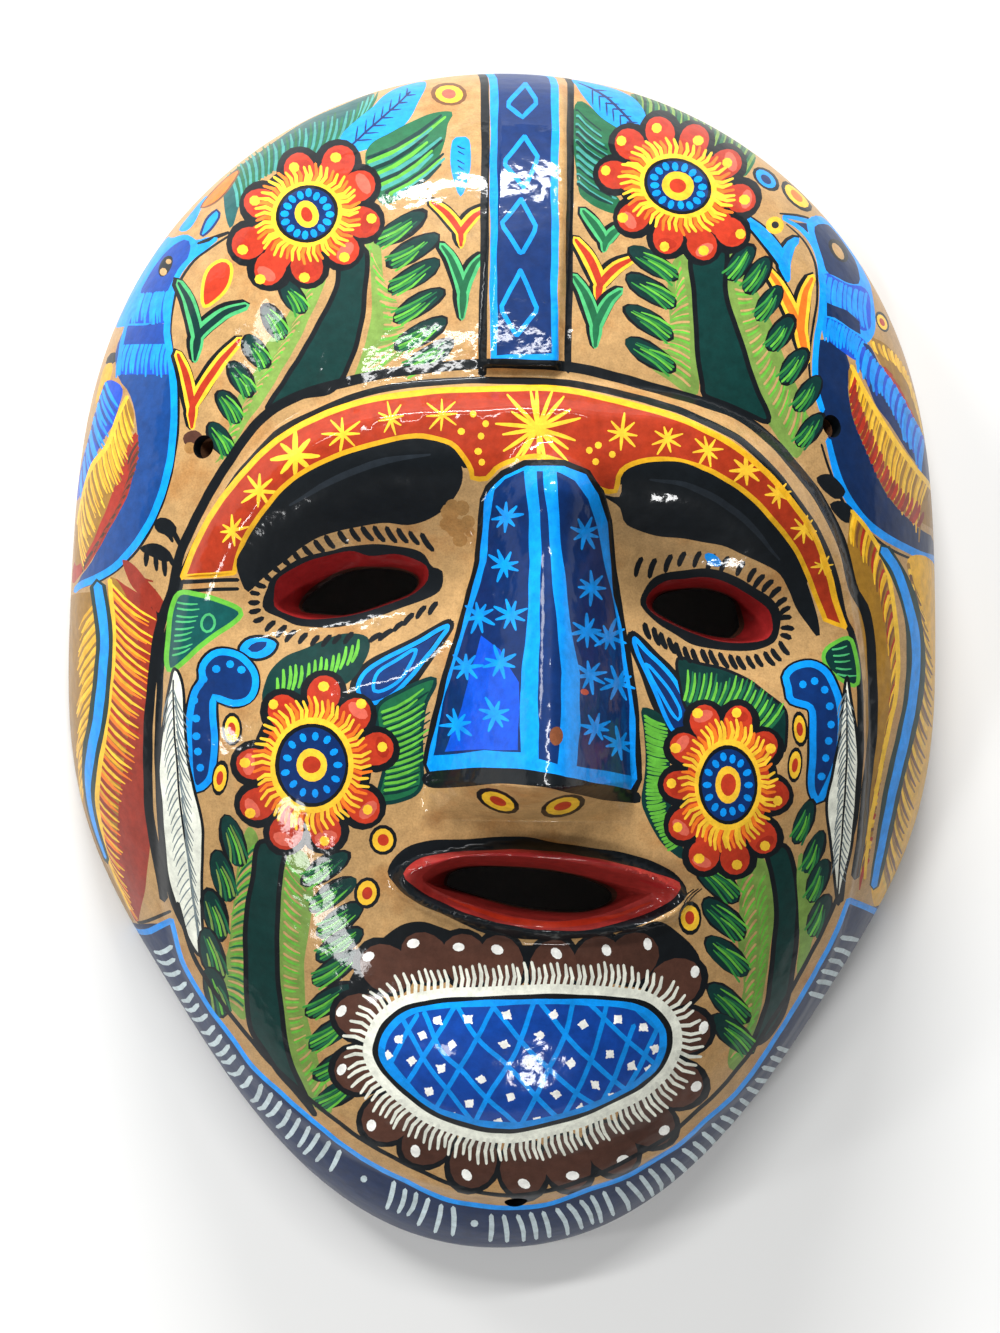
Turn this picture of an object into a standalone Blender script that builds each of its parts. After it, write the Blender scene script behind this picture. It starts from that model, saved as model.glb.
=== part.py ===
"""Folk art wall mask: one pressed clay shell with an open back, a carved face and three string holes.

Metres, +Z up. The mask lies on its back rim: +X is to the viewer's right, +Y to the forehead, +Z out of the face.
The carving is placed in shares of the mask's half width and half height, so it follows the mask's size.
"""

import math

import bmesh
import bpy
import numpy as np
from mathutils.geometry import delaunay_2d_cdt

# Overall sizes
HEIGHT = 0.260
WIDTH = 0.193
SHELL_DEPTH = 0.062
WALL = 0.0075
RIM_WIDTH = 0.0085
STRING_HOLE = 0.0045

# How far each carved form stands above the plain shell, or sinks into it
FACE_STEP = 0.0028
BROW_RISE = 0.0065
CHEEK_RISE = 0.0025
LIP_RISE = 0.0045
CHIN_RISE = 0.0065
BAND_RISE = 0.0025
SOCKET_DEPTH = 0.0060
NOSE_ROOT_RISE = 0.0090
NOSE_TIP_RISE = 0.0320

# Widths of the slopes that join the forms
STEP_SLOPE = 0.0030
BROW_SLOPE = 0.0070
BROW_CREST = 0.0075
BROW_FALL = 0.0220
LIP_SLOPE = 0.0030
LIP_ROLL = 0.0060
BAND_SLOPE = 0.0026
NOSE_UNDERSIDE = 0.0080
BAND_WIDTH = 0.0155

# Bulge of the shell from its rim to its crown
SHELL_POWER = 2.6

# Radius of the rim and of the raised face, every 15 degrees from the crown to the chin
RIM_RADII = (1.0, 1.010, 1.033, 1.058, 1.058, 1.019, 0.997, 0.993, 0.952, 0.939, 0.963, 0.991, 1.0)
FACE_RADII = (0.442, 0.452, 0.495, 0.574, 0.659, 0.718, 0.751, 0.797, 0.863, 0.897, 0.885, 0.877, 0.881)
FACE_CENTRE = (-0.015, 0.0)

# Eyes: centre, half size and tilt in degrees, at the face and at the back of the wall
EYES_FRONT = (((-0.392, 0.115), (0.163, 0.049), 11.0), ((0.379, 0.087), (0.145, 0.045), -14.0))
EYES_BACK = (((-0.366, 0.107), (0.124, 0.033), 12.0), ((0.367, 0.082), (0.101, 0.035), -14.0))
EYE_SOCKET = (0.265, 0.122)
EYE_SHAPE = 2.2
EYE_EDGE = 0.0025

# Mouth: the lips' crest, the opening inside them and the opening at the back of the wall
LIPS = ((0.023, -0.361), (0.299, 0.060), -4.0)
MOUTH_FRONT = ((0.012, -0.357), (0.250, 0.046), -5.0)
MOUTH_BACK = ((0.007, -0.364), (0.180, 0.033), -6.0)
MOUTH_SHAPE = 1.9

# Nose: its axis at the root, the axis's drift to the tip, half widths at both, and where it starts and ends
NOSE_AXIS = 0.016
NOSE_LEAN = -0.028
NOSE_ROOT = 0.307
NOSE_TIP = -0.187
NOSE_ROOT_HALF = 0.127
NOSE_TIP_HALF = 0.218
NOSE_ROUNDING = 0.30
NOSE_HOLLOW = (0.13, 0.20)

# Chin boss, cheeks and forehead band
CHIN_BOSS = ((-0.003, -0.634), (0.390, 0.172), 0.0)
CHEEKS = ((-0.46, -0.18), (0.44, -0.19))
CHEEK_SPREAD = (0.23, 0.17)
BAND_FOOT = (-0.040, 0.460)
BAND_LEAN = 0.055

# String holes: two at the temples and one under the chin
STRING_HOLES = ((-0.707, 0.333), (0.659, 0.389), (0.009, -0.885))

# Facets: how far apart the points of the skins lie, and how many go round each outline
FACE_GRAIN = 0.0058
BACK_GRAIN = 0.0095
FACE_INSETS = (0.0028, 0.0070, 0.0125)
BACK_INSETS = (0.0050,)
RIM_POINTS = 128
OPENING_POINTS = 28
HOLE_POINTS = 12

CLAY = (0.36, 0.17, 0.09, 1.0)


def smooth(t):
    """Rises from 0 to 1 as t does, level at both ends."""
    t = np.clip(t, 0.0, 1.0)
    return t * t * (3.0 - 2.0 * t)


def cosine_terms(radii):
    """Terms of the cosine series through radii that are evenly spaced from the crown to the chin."""
    count = len(radii) - 1
    weights = np.ones(count + 1)
    weights[[0, -1]] = 0.5
    steps = np.arange(count + 1)
    waves = np.cos(np.pi * np.outer(steps, steps) / count)
    terms = waves @ (weights * np.asarray(radii)) * 2.0 / count
    terms[[0, -1]] *= 0.5
    return terms


def outline_radius(radii, angle):
    """Radius of a smooth closed outline at each angle, measured from the crown."""
    terms = cosine_terms(radii)
    return sum(term * np.cos(order * angle) for order, term in enumerate(terms))


class Bowl:
    """A plain bowl on the rim's outline, with its skin unrolled nearly flat for meshing."""

    def __init__(self, half_width, half_height, depth):
        self.half = np.array([half_width, half_height])
        self.depth = depth
        self.shares = 1.0 - np.linspace(1.0, 0.0, 600) ** 3
        heights = depth * np.sqrt(1.0 - self.shares**SHELL_POWER) / self.half.mean()
        steps = np.hypot(np.diff(self.shares), np.diff(heights))
        self.lengths = np.concatenate([[0.0], np.cumsum(steps)])

    def share(self, points):
        """How far out each point lies, from 0 at the crown to 1 at the rim."""
        at = points / self.half
        angle = np.arctan2(at[:, 0], at[:, 1])
        return np.hypot(at[:, 0], at[:, 1]) / outline_radius(RIM_RADII, angle)

    def height(self, points):
        """Height of the plain bowl over each point."""
        share = np.minimum(self.share(points), 1.0)
        return self.depth * np.sqrt(1.0 - share**SHELL_POWER)

    def unrolled(self, points):
        """Points in plan, moved out so that distances are as they are along the skin."""
        share = np.minimum(self.share(points), 1.0)
        length = np.interp(share, self.shares, self.lengths)
        ratio = np.where(share > 1e-6, length / np.maximum(share, 1e-6), 1.0)
        return points * ratio[:, None]

    def rolled(self, points):
        """The plan points that unroll to these."""
        length = self.share(points)
        share = np.interp(length, self.lengths, self.shares)
        ratio = np.where(length > 1e-6, share / np.maximum(length, 1e-6), 1.0)
        return points * ratio[:, None]

    def ring(self, count, inset=0.0):
        """A closed ring of points in plan, a distance inside the rim as measured along the skin."""
        angle = np.linspace(0.0, 2.0 * np.pi, count, endpoint=False)
        radius = outline_radius(RIM_RADII, angle)
        at = np.column_stack([-radius * np.sin(angle), radius * np.cos(angle)]) * self.half
        length = self.lengths[-1] - inset / np.hypot(at[:, 0], at[:, 1])
        return at * np.interp(length, self.lengths, self.shares)[:, None]


FACE_HALF = np.array([WIDTH / 2.0, HEIGHT / 2.0])
FACE_BOWL = Bowl(WIDTH / 2.0, HEIGHT / 2.0, SHELL_DEPTH)
BACK_BOWL = Bowl(WIDTH / 2.0 - RIM_WIDTH, HEIGHT / 2.0 - RIM_WIDTH, SHELL_DEPTH - WALL)


def turned(points, centre, degrees):
    """Offsets from a centre given in shares, along axes turned by some degrees."""
    offset = points - np.asarray(centre) * FACE_HALF
    turn = math.radians(degrees)
    along = offset[:, 0] * math.cos(turn) + offset[:, 1] * math.sin(turn)
    across = offset[:, 1] * math.cos(turn) - offset[:, 0] * math.sin(turn)
    return np.column_stack([along, across])


def oval_measure(points, oval, shape):
    """For each point, 1 on the oval and less inside it, and its distance out from the oval's edge."""
    centre, half, degrees = oval
    offset = turned(points, centre, degrees)
    share = np.abs(offset / (np.asarray(half) * FACE_HALF))
    measure = (share**shape).sum(axis=1) ** (1.0 / shape)
    reach = np.hypot(offset[:, 0], offset[:, 1])
    return measure, reach * (1.0 - 1.0 / np.maximum(measure, 1e-6))


def oval_ring(oval, shape, count, scale=1.0, spread=0.0):
    """A closed ring of points round an oval, scaled about its centre or spread out from its edge."""
    centre, half, degrees = oval
    angle = np.linspace(0.0, 2.0 * np.pi, count, endpoint=False)
    along = np.sign(np.cos(angle)) * np.abs(np.cos(angle)) ** (2.0 / shape)
    across = np.sign(np.sin(angle)) * np.abs(np.sin(angle)) ** (2.0 / shape)
    ring = np.column_stack([along, across]) * np.asarray(half) * FACE_HALF * scale
    ring *= 1.0 + spread / np.hypot(ring[:, 0], ring[:, 1])[:, None]
    turn = math.radians(degrees)
    across_axis = np.array([-math.sin(turn), math.cos(turn)])
    along_axis = np.array([math.cos(turn), math.sin(turn)])
    return np.asarray(centre) * FACE_HALF + ring[:, :1] * along_axis + ring[:, 1:] * across_axis


def face_depth(points):
    """Distance of each point inside the raised face's outline, and its angle from the crown."""
    at = points / FACE_HALF - np.asarray(FACE_CENTRE)
    angle = np.arctan2(at[:, 0], at[:, 1])
    inside = outline_radius(FACE_RADII, angle) - np.hypot(at[:, 0], at[:, 1])
    return inside * np.hypot(np.sin(angle) * FACE_HALF[0], np.cos(angle) * FACE_HALF[1]), np.abs(angle)


def face_ring(count, inset):
    """A closed ring of points inside the raised face's outline by a distance."""
    angle = np.linspace(0.0, 2.0 * np.pi, count, endpoint=False)
    radius = outline_radius(FACE_RADII, angle)
    at = np.column_stack([radius * np.sin(angle), radius * np.cos(angle)])
    at = (at + np.asarray(FACE_CENTRE)) * FACE_HALF
    return at - at / np.hypot(at[:, 0], at[:, 1])[:, None] * inset


def brow_relief(points):
    """The arched ridge under the forehead, which dies out at the temples."""
    depth, angle = face_depth(points)
    rise = smooth(depth / BROW_SLOPE)
    fall = 1.0 - smooth((depth - BROW_SLOPE - BROW_CREST) / BROW_FALL)
    taper = 1.0 - smooth((angle - math.radians(45.0)) / math.radians(50.0))
    return BROW_RISE * rise * fall * taper


def nose_sides(height):
    """How far down the nose a height is, from 0 at its root to 1 at its tip, with its axis and half width there."""
    along = (NOSE_ROOT * FACE_HALF[1] - height) / ((NOSE_ROOT - NOSE_TIP) * FACE_HALF[1])
    reach = np.clip(along, 0.0, 1.2)
    half = NOSE_ROOT_HALF + (NOSE_TIP_HALF - NOSE_ROOT_HALF) * reach
    return along, (NOSE_AXIS + NOSE_LEAN * reach) * FACE_HALF[0], half * FACE_HALF[0]


def nose_relief(points):
    """A wedge that widens and rises from the brow to its tip, with a steep underside."""
    along, axis, half = nose_sides(points[:, 1])
    across = np.abs(points[:, 0] - axis) / half
    ridge = NOSE_ROOT_RISE + (NOSE_TIP_RISE - NOSE_ROOT_RISE) * np.clip(along, 0.0, 1.0)
    peak = (np.hypot(across, NOSE_ROUNDING) - NOSE_ROUNDING) / (math.hypot(1.0, NOSE_ROUNDING) - NOSE_ROUNDING)
    bridge = np.sqrt(np.clip(1.0 - across**2, 0.0, 1.0)) * half
    root = smooth((NOSE_ROOT * FACE_HALF[1] + bridge - half - points[:, 1]) / half + 0.5)
    under = np.clip((points[:, 1] - NOSE_TIP * FACE_HALF[1]) / NOSE_UNDERSIDE + 1.0, 0.0, 1.0)
    return ridge * np.clip(1.0 - peak, 0.0, 1.0) * root * under


def band_relief(points):
    """The raised strip from the brow over the crown."""
    height = points[:, 1] / FACE_HALF[1]
    axis = (BAND_FOOT[0] + BAND_LEAN * (height - BAND_FOOT[1]) / (1.0 - BAND_FOOT[1])) * FACE_HALF[0]
    side = smooth((BAND_WIDTH / 2.0 - np.abs(points[:, 0] - axis)) / BAND_SLOPE + 0.5)
    return BAND_RISE * side * smooth((points[:, 1] - BAND_FOOT[1] * FACE_HALF[1]) / BAND_SLOPE + 0.5)


def lip_relief(points):
    """A rolled lip round the mouth: steep outside its crest, gentler inside."""
    _, reach = oval_measure(points, LIPS, MOUTH_SHAPE)
    return LIP_RISE * np.where(reach > 0.0, 1.0 - smooth(reach / LIP_SLOPE), 1.0 - smooth(-reach / LIP_ROLL))


def soft_relief(points):
    """The broad forms that the inside of the shell follows too: sockets, cheeks and chin."""
    total = np.zeros(len(points))
    for centre, _, degrees in EYES_FRONT:
        offset = turned(points, centre, degrees) / (np.asarray(EYE_SOCKET) * FACE_HALF)
        total -= SOCKET_DEPTH * np.exp(-((offset**2).sum(axis=1) ** 1.5))
    for centre in CHEEKS:
        offset = (points / FACE_HALF - np.asarray(centre)) / np.asarray(CHEEK_SPREAD)
        total += CHEEK_RISE * np.exp(-(offset**2).sum(axis=1))
    measure, _ = oval_measure(points, CHIN_BOSS, 2.0)
    return total + CHIN_RISE * (1.0 - smooth((measure - 0.25) / 0.80))


def face_height(points):
    """Height of the carved face over each point."""
    depth, _ = face_depth(points)
    carving = FACE_STEP * smooth(depth / STEP_SLOPE + 0.5)
    carving += brow_relief(points) + soft_relief(points) + band_relief(points) + lip_relief(points)
    carving += nose_relief(points)
    fade = 1.0 - smooth((FACE_BOWL.share(points) - 0.93) / 0.07)
    return FACE_BOWL.height(points) + carving * fade


def back_height(points):
    """Height of the inside of the shell over each point, with a soft hollow behind the nose and brow."""
    nose_y = (NOSE_TIP * 0.55 + NOSE_ROOT * 0.45) * FACE_HALF[1]
    nose_x = (NOSE_AXIS + NOSE_LEAN * 0.55) * FACE_HALF[0]
    offset = (points - np.array([nose_x, nose_y])) / (np.array(NOSE_HOLLOW) * FACE_HALF)
    hollow = 0.45 * NOSE_TIP_RISE * np.exp(-(offset**2).sum(axis=1))
    sunk = np.minimum(soft_relief(points), 0.0) + 0.4 * np.maximum(soft_relief(points), 0.0)
    fade = 1.0 - smooth((BACK_BOWL.share(points) - 0.80) / 0.20)
    return BACK_BOWL.height(points) + (hollow + sunk + 0.5 * brow_relief(points)) * fade


def skin_normal(height, point):
    """Outward direction of a skin over one point."""
    step = 1e-4
    around = np.array([[step, 0.0], [-step, 0.0], [0.0, step], [0.0, -step]]) + point
    values = height(around)
    normal = np.array([values[1] - values[0], values[3] - values[2], 2.0 * step])
    return normal / np.linalg.norm(normal)


def string_hole_rings(centre):
    """The hole's outline on the face and, straight through the wall, on the inside."""
    middle = np.asarray(centre) * FACE_HALF
    normal = skin_normal(FACE_BOWL.height, middle)
    side = np.cross(normal, [0.0, 0.0, 1.0])
    side /= np.linalg.norm(side)
    other = np.cross(normal, side)
    angle = np.linspace(0.0, 2.0 * np.pi, HOLE_POINTS, endpoint=False)[:, None]
    ring = STRING_HOLE / 2.0 * (np.cos(angle) * side + np.sin(angle) * other)
    start = np.array([*middle, face_height(middle[None])[0]]) + ring
    front = meeting(start, normal, face_height, -WALL, WALL)
    back = meeting(start, normal, back_height, -5.0 * WALL, 0.0)
    return front, back


def meeting(start, direction, height, low, high):
    """Plan points where lines from the start points meet a skin, between two distances along them."""
    low = np.full(len(start), low)
    high = np.full(len(start), high)
    for _ in range(40):
        middle = (low + high) / 2.0
        at = start + direction * middle[:, None]
        outside = at[:, 2] > height(at[:, :2])
        high = np.where(outside, middle, high)
        low = np.where(outside, low, middle)
    return (start + direction * low[:, None])[:, :2]


def even(path, spacing, closed=True):
    """Points at even spacing along a path."""
    if closed:
        path = np.vstack([path, path[:1]])
    lengths = np.concatenate([[0.0], np.cumsum(np.hypot(*np.diff(path, axis=0).T))])
    count = max(3, round(lengths[-1] / spacing))
    at = np.linspace(0.0, lengths[-1], count, endpoint=not closed)
    return np.column_stack([np.interp(at, lengths, path[:, k]) for k in range(2)])


def nearest(points, others):
    """Distance from each point to the nearest of the others."""
    return np.hypot(*(points[:, None] - others[None]).transpose(2, 0, 1)).min(axis=1)


def face_lines():
    """Plan lines along which the carving bends, each a list of points and whether it is closed."""
    lines = [(face_ring(360, STEP_SLOPE * side), True) for side in (-0.5, 0.5)]
    arch = np.linspace(-80.0, 80.0, 90)
    for inset in (BROW_SLOPE * 0.6, BROW_SLOPE + BROW_CREST * 0.5, BROW_SLOPE + BROW_CREST + BROW_FALL * 0.4):
        ring = face_ring(360, inset)
        lines.append((ring[np.round(arch).astype(int) % 360], False))
    height = np.linspace(NOSE_ROOT + 0.02, NOSE_TIP, 12) * FACE_HALF[1]
    _, axis, half = nose_sides(height)
    for share in (-1.0, -0.60, -0.22, 0.0, 0.22, 0.60, 1.0):
        lines.append((np.column_stack([axis + share * half, height]), False))
    low = NOSE_TIP * FACE_HALF[1]
    for drop in (0.0, NOSE_UNDERSIDE):
        ends = np.array([[axis[-1] - half[-1], low - drop], [axis[-1] + half[-1], low - drop]])
        lines.append((ends, False))
    for eye in EYES_FRONT:
        lines.append((oval_ring(eye, EYE_SHAPE, 60, spread=EYE_EDGE), True))
    lines.append((oval_ring(LIPS, MOUTH_SHAPE, 90), True))
    lines.append((oval_ring(LIPS, MOUTH_SHAPE, 90, spread=LIP_SLOPE), True))
    for scale in (0.40, 0.70, 1.0):
        lines.append((oval_ring(CHIN_BOSS, 2.0, 90, scale), True))
    foot = BAND_FOOT[1] * FACE_HALF[1]
    for side in (-1.0, 1.0):
        for slope in (-0.5, 0.5):
            offset = side * (BAND_WIDTH / 2.0 + slope * BAND_SLOPE)
            ends = np.array([[BAND_FOOT[0], foot], [BAND_FOOT[0] + BAND_LEAN * 0.9, foot * 0.1 + FACE_HALF[1] * 0.9]])
            ends[:, 0] = ends[:, 0] * FACE_HALF[0] + offset
            lines.append((ends, False))
    return lines


def skin(bowl, height, grain, openings, lines, insets):
    """Triangles of one skin of the shell, with its rim and each opening as rows of its points.

    Args:
        bowl: the bowl whose rim bounds the skin.
        height: gives the skin's height over plan points.
        grain: distance between points.
        openings: closed plan rings that are cut out.
        lines: plan lines that the triangles follow, each with whether it is closed.
        insets: distances inside the rim that get a ring of points too.
    """
    rim = bowl.unrolled(bowl.ring(RIM_POINTS))
    loops = [rim] + [bowl.unrolled(ring) for ring in openings]
    points = list(loops)
    edges = []
    faces = []
    count = 0
    for loop in loops:
        faces.append(list(range(count, count + len(loop))))
        count += len(loop)
    fixed = np.vstack(points)
    guides = [(bowl.unrolled(bowl.ring(RIM_POINTS, inset)), True) for inset in insets]
    guides += [(bowl.unrolled(even(line, grain * 0.3, closed)), closed) for line, closed in lines]
    for guide, closed in guides:
        guide = even(guide, grain * 0.85, closed)
        keep = nearest(guide, fixed) > grain * 0.3
        index = np.cumsum(keep) - 1 + count
        after = np.roll(guide, -1, axis=0)
        clear = nearest((guide + after) / 2.0, fixed) > grain * 0.3
        clear &= keep & np.roll(keep, -1)
        if not closed:
            clear[-1] = False
        edges += [(int(index[k]), int(index[(k + 1) % len(guide)])) for k in np.flatnonzero(clear)]
        points.append(guide[keep])
        count += int(keep.sum())
    fixed = np.vstack(points)
    reach = np.abs(rim).max(axis=0)
    rows = np.arange(-reach[1], reach[1], grain * math.sqrt(3.0) / 2.0)
    columns = np.arange(-reach[0], reach[0], grain)
    grid = np.vstack([
        np.column_stack([columns + (k % 2) * grain / 2.0, np.full(len(columns), row)])
        for k, row in enumerate(rows)
    ])
    points.append(grid[nearest(grid, fixed) > grain * 0.55])
    flat = np.vstack(points)
    found = delaunay_2d_cdt([tuple(p) for p in flat], edges, faces, 0, 1e-7)
    places = np.array([tuple(p) for p in found[0]])
    wanted = [face for face, owners in zip(found[2], found[5]) if owners == [0]]
    first = {source: at for at, sources in enumerate(found[3]) for source in sources}
    rows = [[first[k] for k in face] for face in faces]
    plan = bowl.rolled(places)
    plan[rows[0]] = bowl.ring(RIM_POINTS)
    for row, ring in zip(rows[1:], openings):
        plan[row] = ring
    heights = height(plan)
    heights[rows[0]] = 0.0
    return np.column_stack([plan, heights]), wanted, rows


def shell_mesh():
    """The closed mesh of the whole mask: both skins, the flat rim and the walls of the openings."""
    fronts = [oval_ring(eye, EYE_SHAPE, OPENING_POINTS) for eye in EYES_FRONT]
    fronts.append(oval_ring(MOUTH_FRONT, MOUTH_SHAPE, OPENING_POINTS))
    backs = [oval_ring(eye, EYE_SHAPE, OPENING_POINTS) for eye in EYES_BACK]
    backs.append(oval_ring(MOUTH_BACK, MOUTH_SHAPE, OPENING_POINTS))
    for centre in STRING_HOLES:
        front, back = string_hole_rings(centre)
        fronts.append(front)
        backs.append(back)
    face, face_tris, face_rows = skin(FACE_BOWL, face_height, FACE_GRAIN, fronts, face_lines(), FACE_INSETS)
    back, back_tris, back_rows = skin(BACK_BOWL, back_height, BACK_GRAIN, backs, [], BACK_INSETS)
    shift = len(face)
    mesh = bmesh.new()
    verts = [mesh.verts.new(point) for point in np.vstack([face, back])]
    for tri in face_tris:
        mesh.faces.new([verts[k] for k in tri])
    for tri in back_tris:
        mesh.faces.new([verts[k + shift] for k in reversed(tri)])
    for front_row, back_row in zip(face_rows, back_rows):
        for k in range(len(front_row)):
            after = (k + 1) % len(front_row)
            quad = (front_row[k], front_row[after], back_row[after] + shift, back_row[k] + shift)
            mesh.faces.new([verts[corner] for corner in quad])
    bmesh.ops.delete(mesh, geom=[vert for vert in mesh.verts if not vert.link_faces], context="VERTS")
    bmesh.ops.recalc_face_normals(mesh, faces=mesh.faces)
    return mesh


def clay():
    """Bare fired clay."""
    material = bpy.data.materials.new("fired clay")
    material.use_nodes = True
    shader = material.node_tree.nodes["Principled BSDF"]
    shader.inputs["Base Color"].default_value = CLAY
    shader.inputs["Roughness"].default_value = 0.6
    return material


def main():
    """Clears the scene and makes the mask."""
    for old in list(bpy.data.objects):
        bpy.data.objects.remove(old)
    mesh = shell_mesh()
    data = bpy.data.meshes.new("mask")
    mesh.to_mesh(data)
    mesh.free()
    data.materials.append(clay())
    data.shade_smooth()
    data.set_sharp_from_angle(angle=math.radians(50.0))
    bpy.context.scene.collection.objects.link(bpy.data.objects.new("mask", data))


main()
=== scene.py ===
"""Looks of the folk art wall mask: a pressed clay shell, painted all over and varnished.

The mask lies on its back rim. +X is to the viewer's right, +Y to the forehead and +Z out of the face, in metres.
Its paint is drawn on a grid that lies over the front view, 1000 across and 1333 down, with y running down.
"""

import logging
import math
import re
from dataclasses import dataclass, field
from enum import Enum
from typing import Callable, Iterable, Sequence

import bpy
import numpy as np
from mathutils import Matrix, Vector
from mathutils.geometry import delaunay_2d_cdt

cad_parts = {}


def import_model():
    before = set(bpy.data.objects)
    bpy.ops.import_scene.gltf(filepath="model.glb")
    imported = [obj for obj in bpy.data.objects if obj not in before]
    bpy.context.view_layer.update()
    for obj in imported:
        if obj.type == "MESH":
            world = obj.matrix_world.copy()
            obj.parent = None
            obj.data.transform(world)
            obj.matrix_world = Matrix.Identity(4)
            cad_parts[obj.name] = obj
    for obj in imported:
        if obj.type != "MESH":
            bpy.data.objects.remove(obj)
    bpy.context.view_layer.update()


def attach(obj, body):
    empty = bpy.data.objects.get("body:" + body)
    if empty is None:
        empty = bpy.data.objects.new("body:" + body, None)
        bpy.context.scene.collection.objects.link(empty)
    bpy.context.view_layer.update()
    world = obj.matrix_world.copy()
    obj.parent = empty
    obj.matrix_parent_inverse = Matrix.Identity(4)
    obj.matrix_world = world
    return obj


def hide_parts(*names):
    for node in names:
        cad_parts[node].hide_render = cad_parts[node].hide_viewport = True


LOG = logging.getLogger("mask")
Points = np.ndarray
Place = tuple[float, float]
Line = str | Sequence[Place] | np.ndarray


def smooth(t: Points) -> Points:
    """Rises from 0 to 1 as t does, level at both ends."""
    t = np.clip(t, 0.0, 1.0)
    return t * t * (3.0 - 2.0 * t)


def cosine_outline(radii: Sequence[float], angle: Points) -> Points:
    """Radius of a smooth closed outline at each angle from the crown.

    Args:
        radii: radii at even steps from the crown to the chin.
        angle: angles from the crown, in radians.

    Returns:
        The radius at each angle.
    """
    count = len(radii) - 1
    weights = np.ones(count + 1)
    weights[[0, -1]] = 0.5
    steps = np.arange(count + 1)
    terms = np.cos(np.pi * np.outer(steps, steps) / count) @ (weights * np.asarray(radii)) * 2.0 / count
    terms[[0, -1]] *= 0.5
    return sum(term * np.cos(order * angle) for order, term in enumerate(terms))


@dataclass(frozen=True)
class Oval:
    """An oval on the face: centre and half size in shares of the mask's half width and height, tilt in degrees."""

    centre: Place
    half: Place
    tilt: float = 0.0
    shape: float = 2.0

    def offsets(self, plan: Points, frame: Points) -> Points:
        """Offsets of plan points from the centre, along the oval's own axes."""
        offset = plan - np.asarray(self.centre) * frame
        turn = math.radians(self.tilt)
        along = offset[:, 0] * math.cos(turn) + offset[:, 1] * math.sin(turn)
        across = offset[:, 1] * math.cos(turn) - offset[:, 0] * math.sin(turn)
        return np.column_stack([along, across])

    def measure(self, plan: Points, frame: Points) -> Points:
        """1 on the oval and less inside it, for each plan point."""
        share = np.abs(self.offsets(plan, frame) / (np.asarray(self.half) * frame))
        return (share**self.shape).sum(axis=1) ** (1.0 / self.shape)

    def reach(self, plan: Points, frame: Points) -> Points:
        """Distance out from the oval's edge, negative inside it, for each plan point."""
        offset = self.offsets(plan, frame)
        measure = self.measure(plan, frame)
        return np.hypot(offset[:, 0], offset[:, 1]) * (1.0 - 1.0 / np.maximum(measure, 1e-6))

    def ring(self, frame: Points, count: int) -> Points:
        """A closed ring of plan points round the oval."""
        angle = np.linspace(0.0, 2.0 * np.pi, count, endpoint=False)
        along = np.sign(np.cos(angle)) * np.abs(np.cos(angle)) ** (2.0 / self.shape)
        across = np.sign(np.sin(angle)) * np.abs(np.sin(angle)) ** (2.0 / self.shape)
        ring = np.column_stack([along, across]) * np.asarray(self.half) * frame
        turn = math.radians(self.tilt)
        turned = np.column_stack([
            ring[:, 0] * math.cos(turn) - ring[:, 1] * math.sin(turn),
            ring[:, 0] * math.sin(turn) + ring[:, 1] * math.cos(turn),
        ])
        return turned + np.asarray(self.centre) * frame


@dataclass(frozen=True)
class Bowl:
    """A plain bowl on the rim's outline, which can be unrolled nearly flat."""

    half_width: float
    half_height: float
    depth: float
    rim_radii: tuple[float, ...]
    power: float = 2.6

    @property
    def frame(self) -> Points:
        """Half width and half height."""
        return np.array([self.half_width, self.half_height])

    def profile(self) -> tuple[Points, Points]:
        """Shares of the radius, and the length along the skin out to each."""
        shares = 1.0 - np.linspace(1.0, 0.0, 900) ** 3
        heights = self.depth * np.sqrt(1.0 - shares**self.power) / self.frame.mean()
        steps = np.hypot(np.diff(shares), np.diff(heights))
        return shares, np.concatenate([[0.0], np.cumsum(steps)])

    def share(self, plan: Points) -> Points:
        """How far out each plan point lies, 1 at the rim."""
        at = plan / self.frame
        angle = np.arctan2(at[:, 0], at[:, 1])
        return np.hypot(at[:, 0], at[:, 1]) / cosine_outline(self.rim_radii, angle)

    def height(self, plan: Points) -> Points:
        """Height of the plain bowl over each plan point."""
        return self.depth * np.sqrt(1.0 - np.minimum(self.share(plan), 1.0) ** self.power)

    def unrolled(self, plan: Points) -> Points:
        """Plan points moved out so that distances are as they are along the skin."""
        shares, lengths = self.profile()
        share = np.minimum(self.share(plan), 1.0)
        length = np.interp(share, shares, lengths)
        return plan * np.where(share > 1e-6, length / np.maximum(share, 1e-6), 1.0)[:, None]

    def rolled(self, flat: Points) -> Points:
        """The plan points that unroll to these."""
        shares, lengths = self.profile()
        length = self.share(flat)
        share = np.interp(length, lengths, shares)
        return flat * np.where(length > 1e-6, share / np.maximum(length, 1e-6), 1.0)[:, None]

    def ring(self, count: int, share: float = 1.0) -> Points:
        """A closed ring of plan points at a share of the way out."""
        angle = np.linspace(0.0, 2.0 * np.pi, count, endpoint=False)
        radius = cosine_outline(self.rim_radii, angle) * share
        return np.column_stack([-radius * np.sin(angle), radius * np.cos(angle)]) * self.frame


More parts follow.
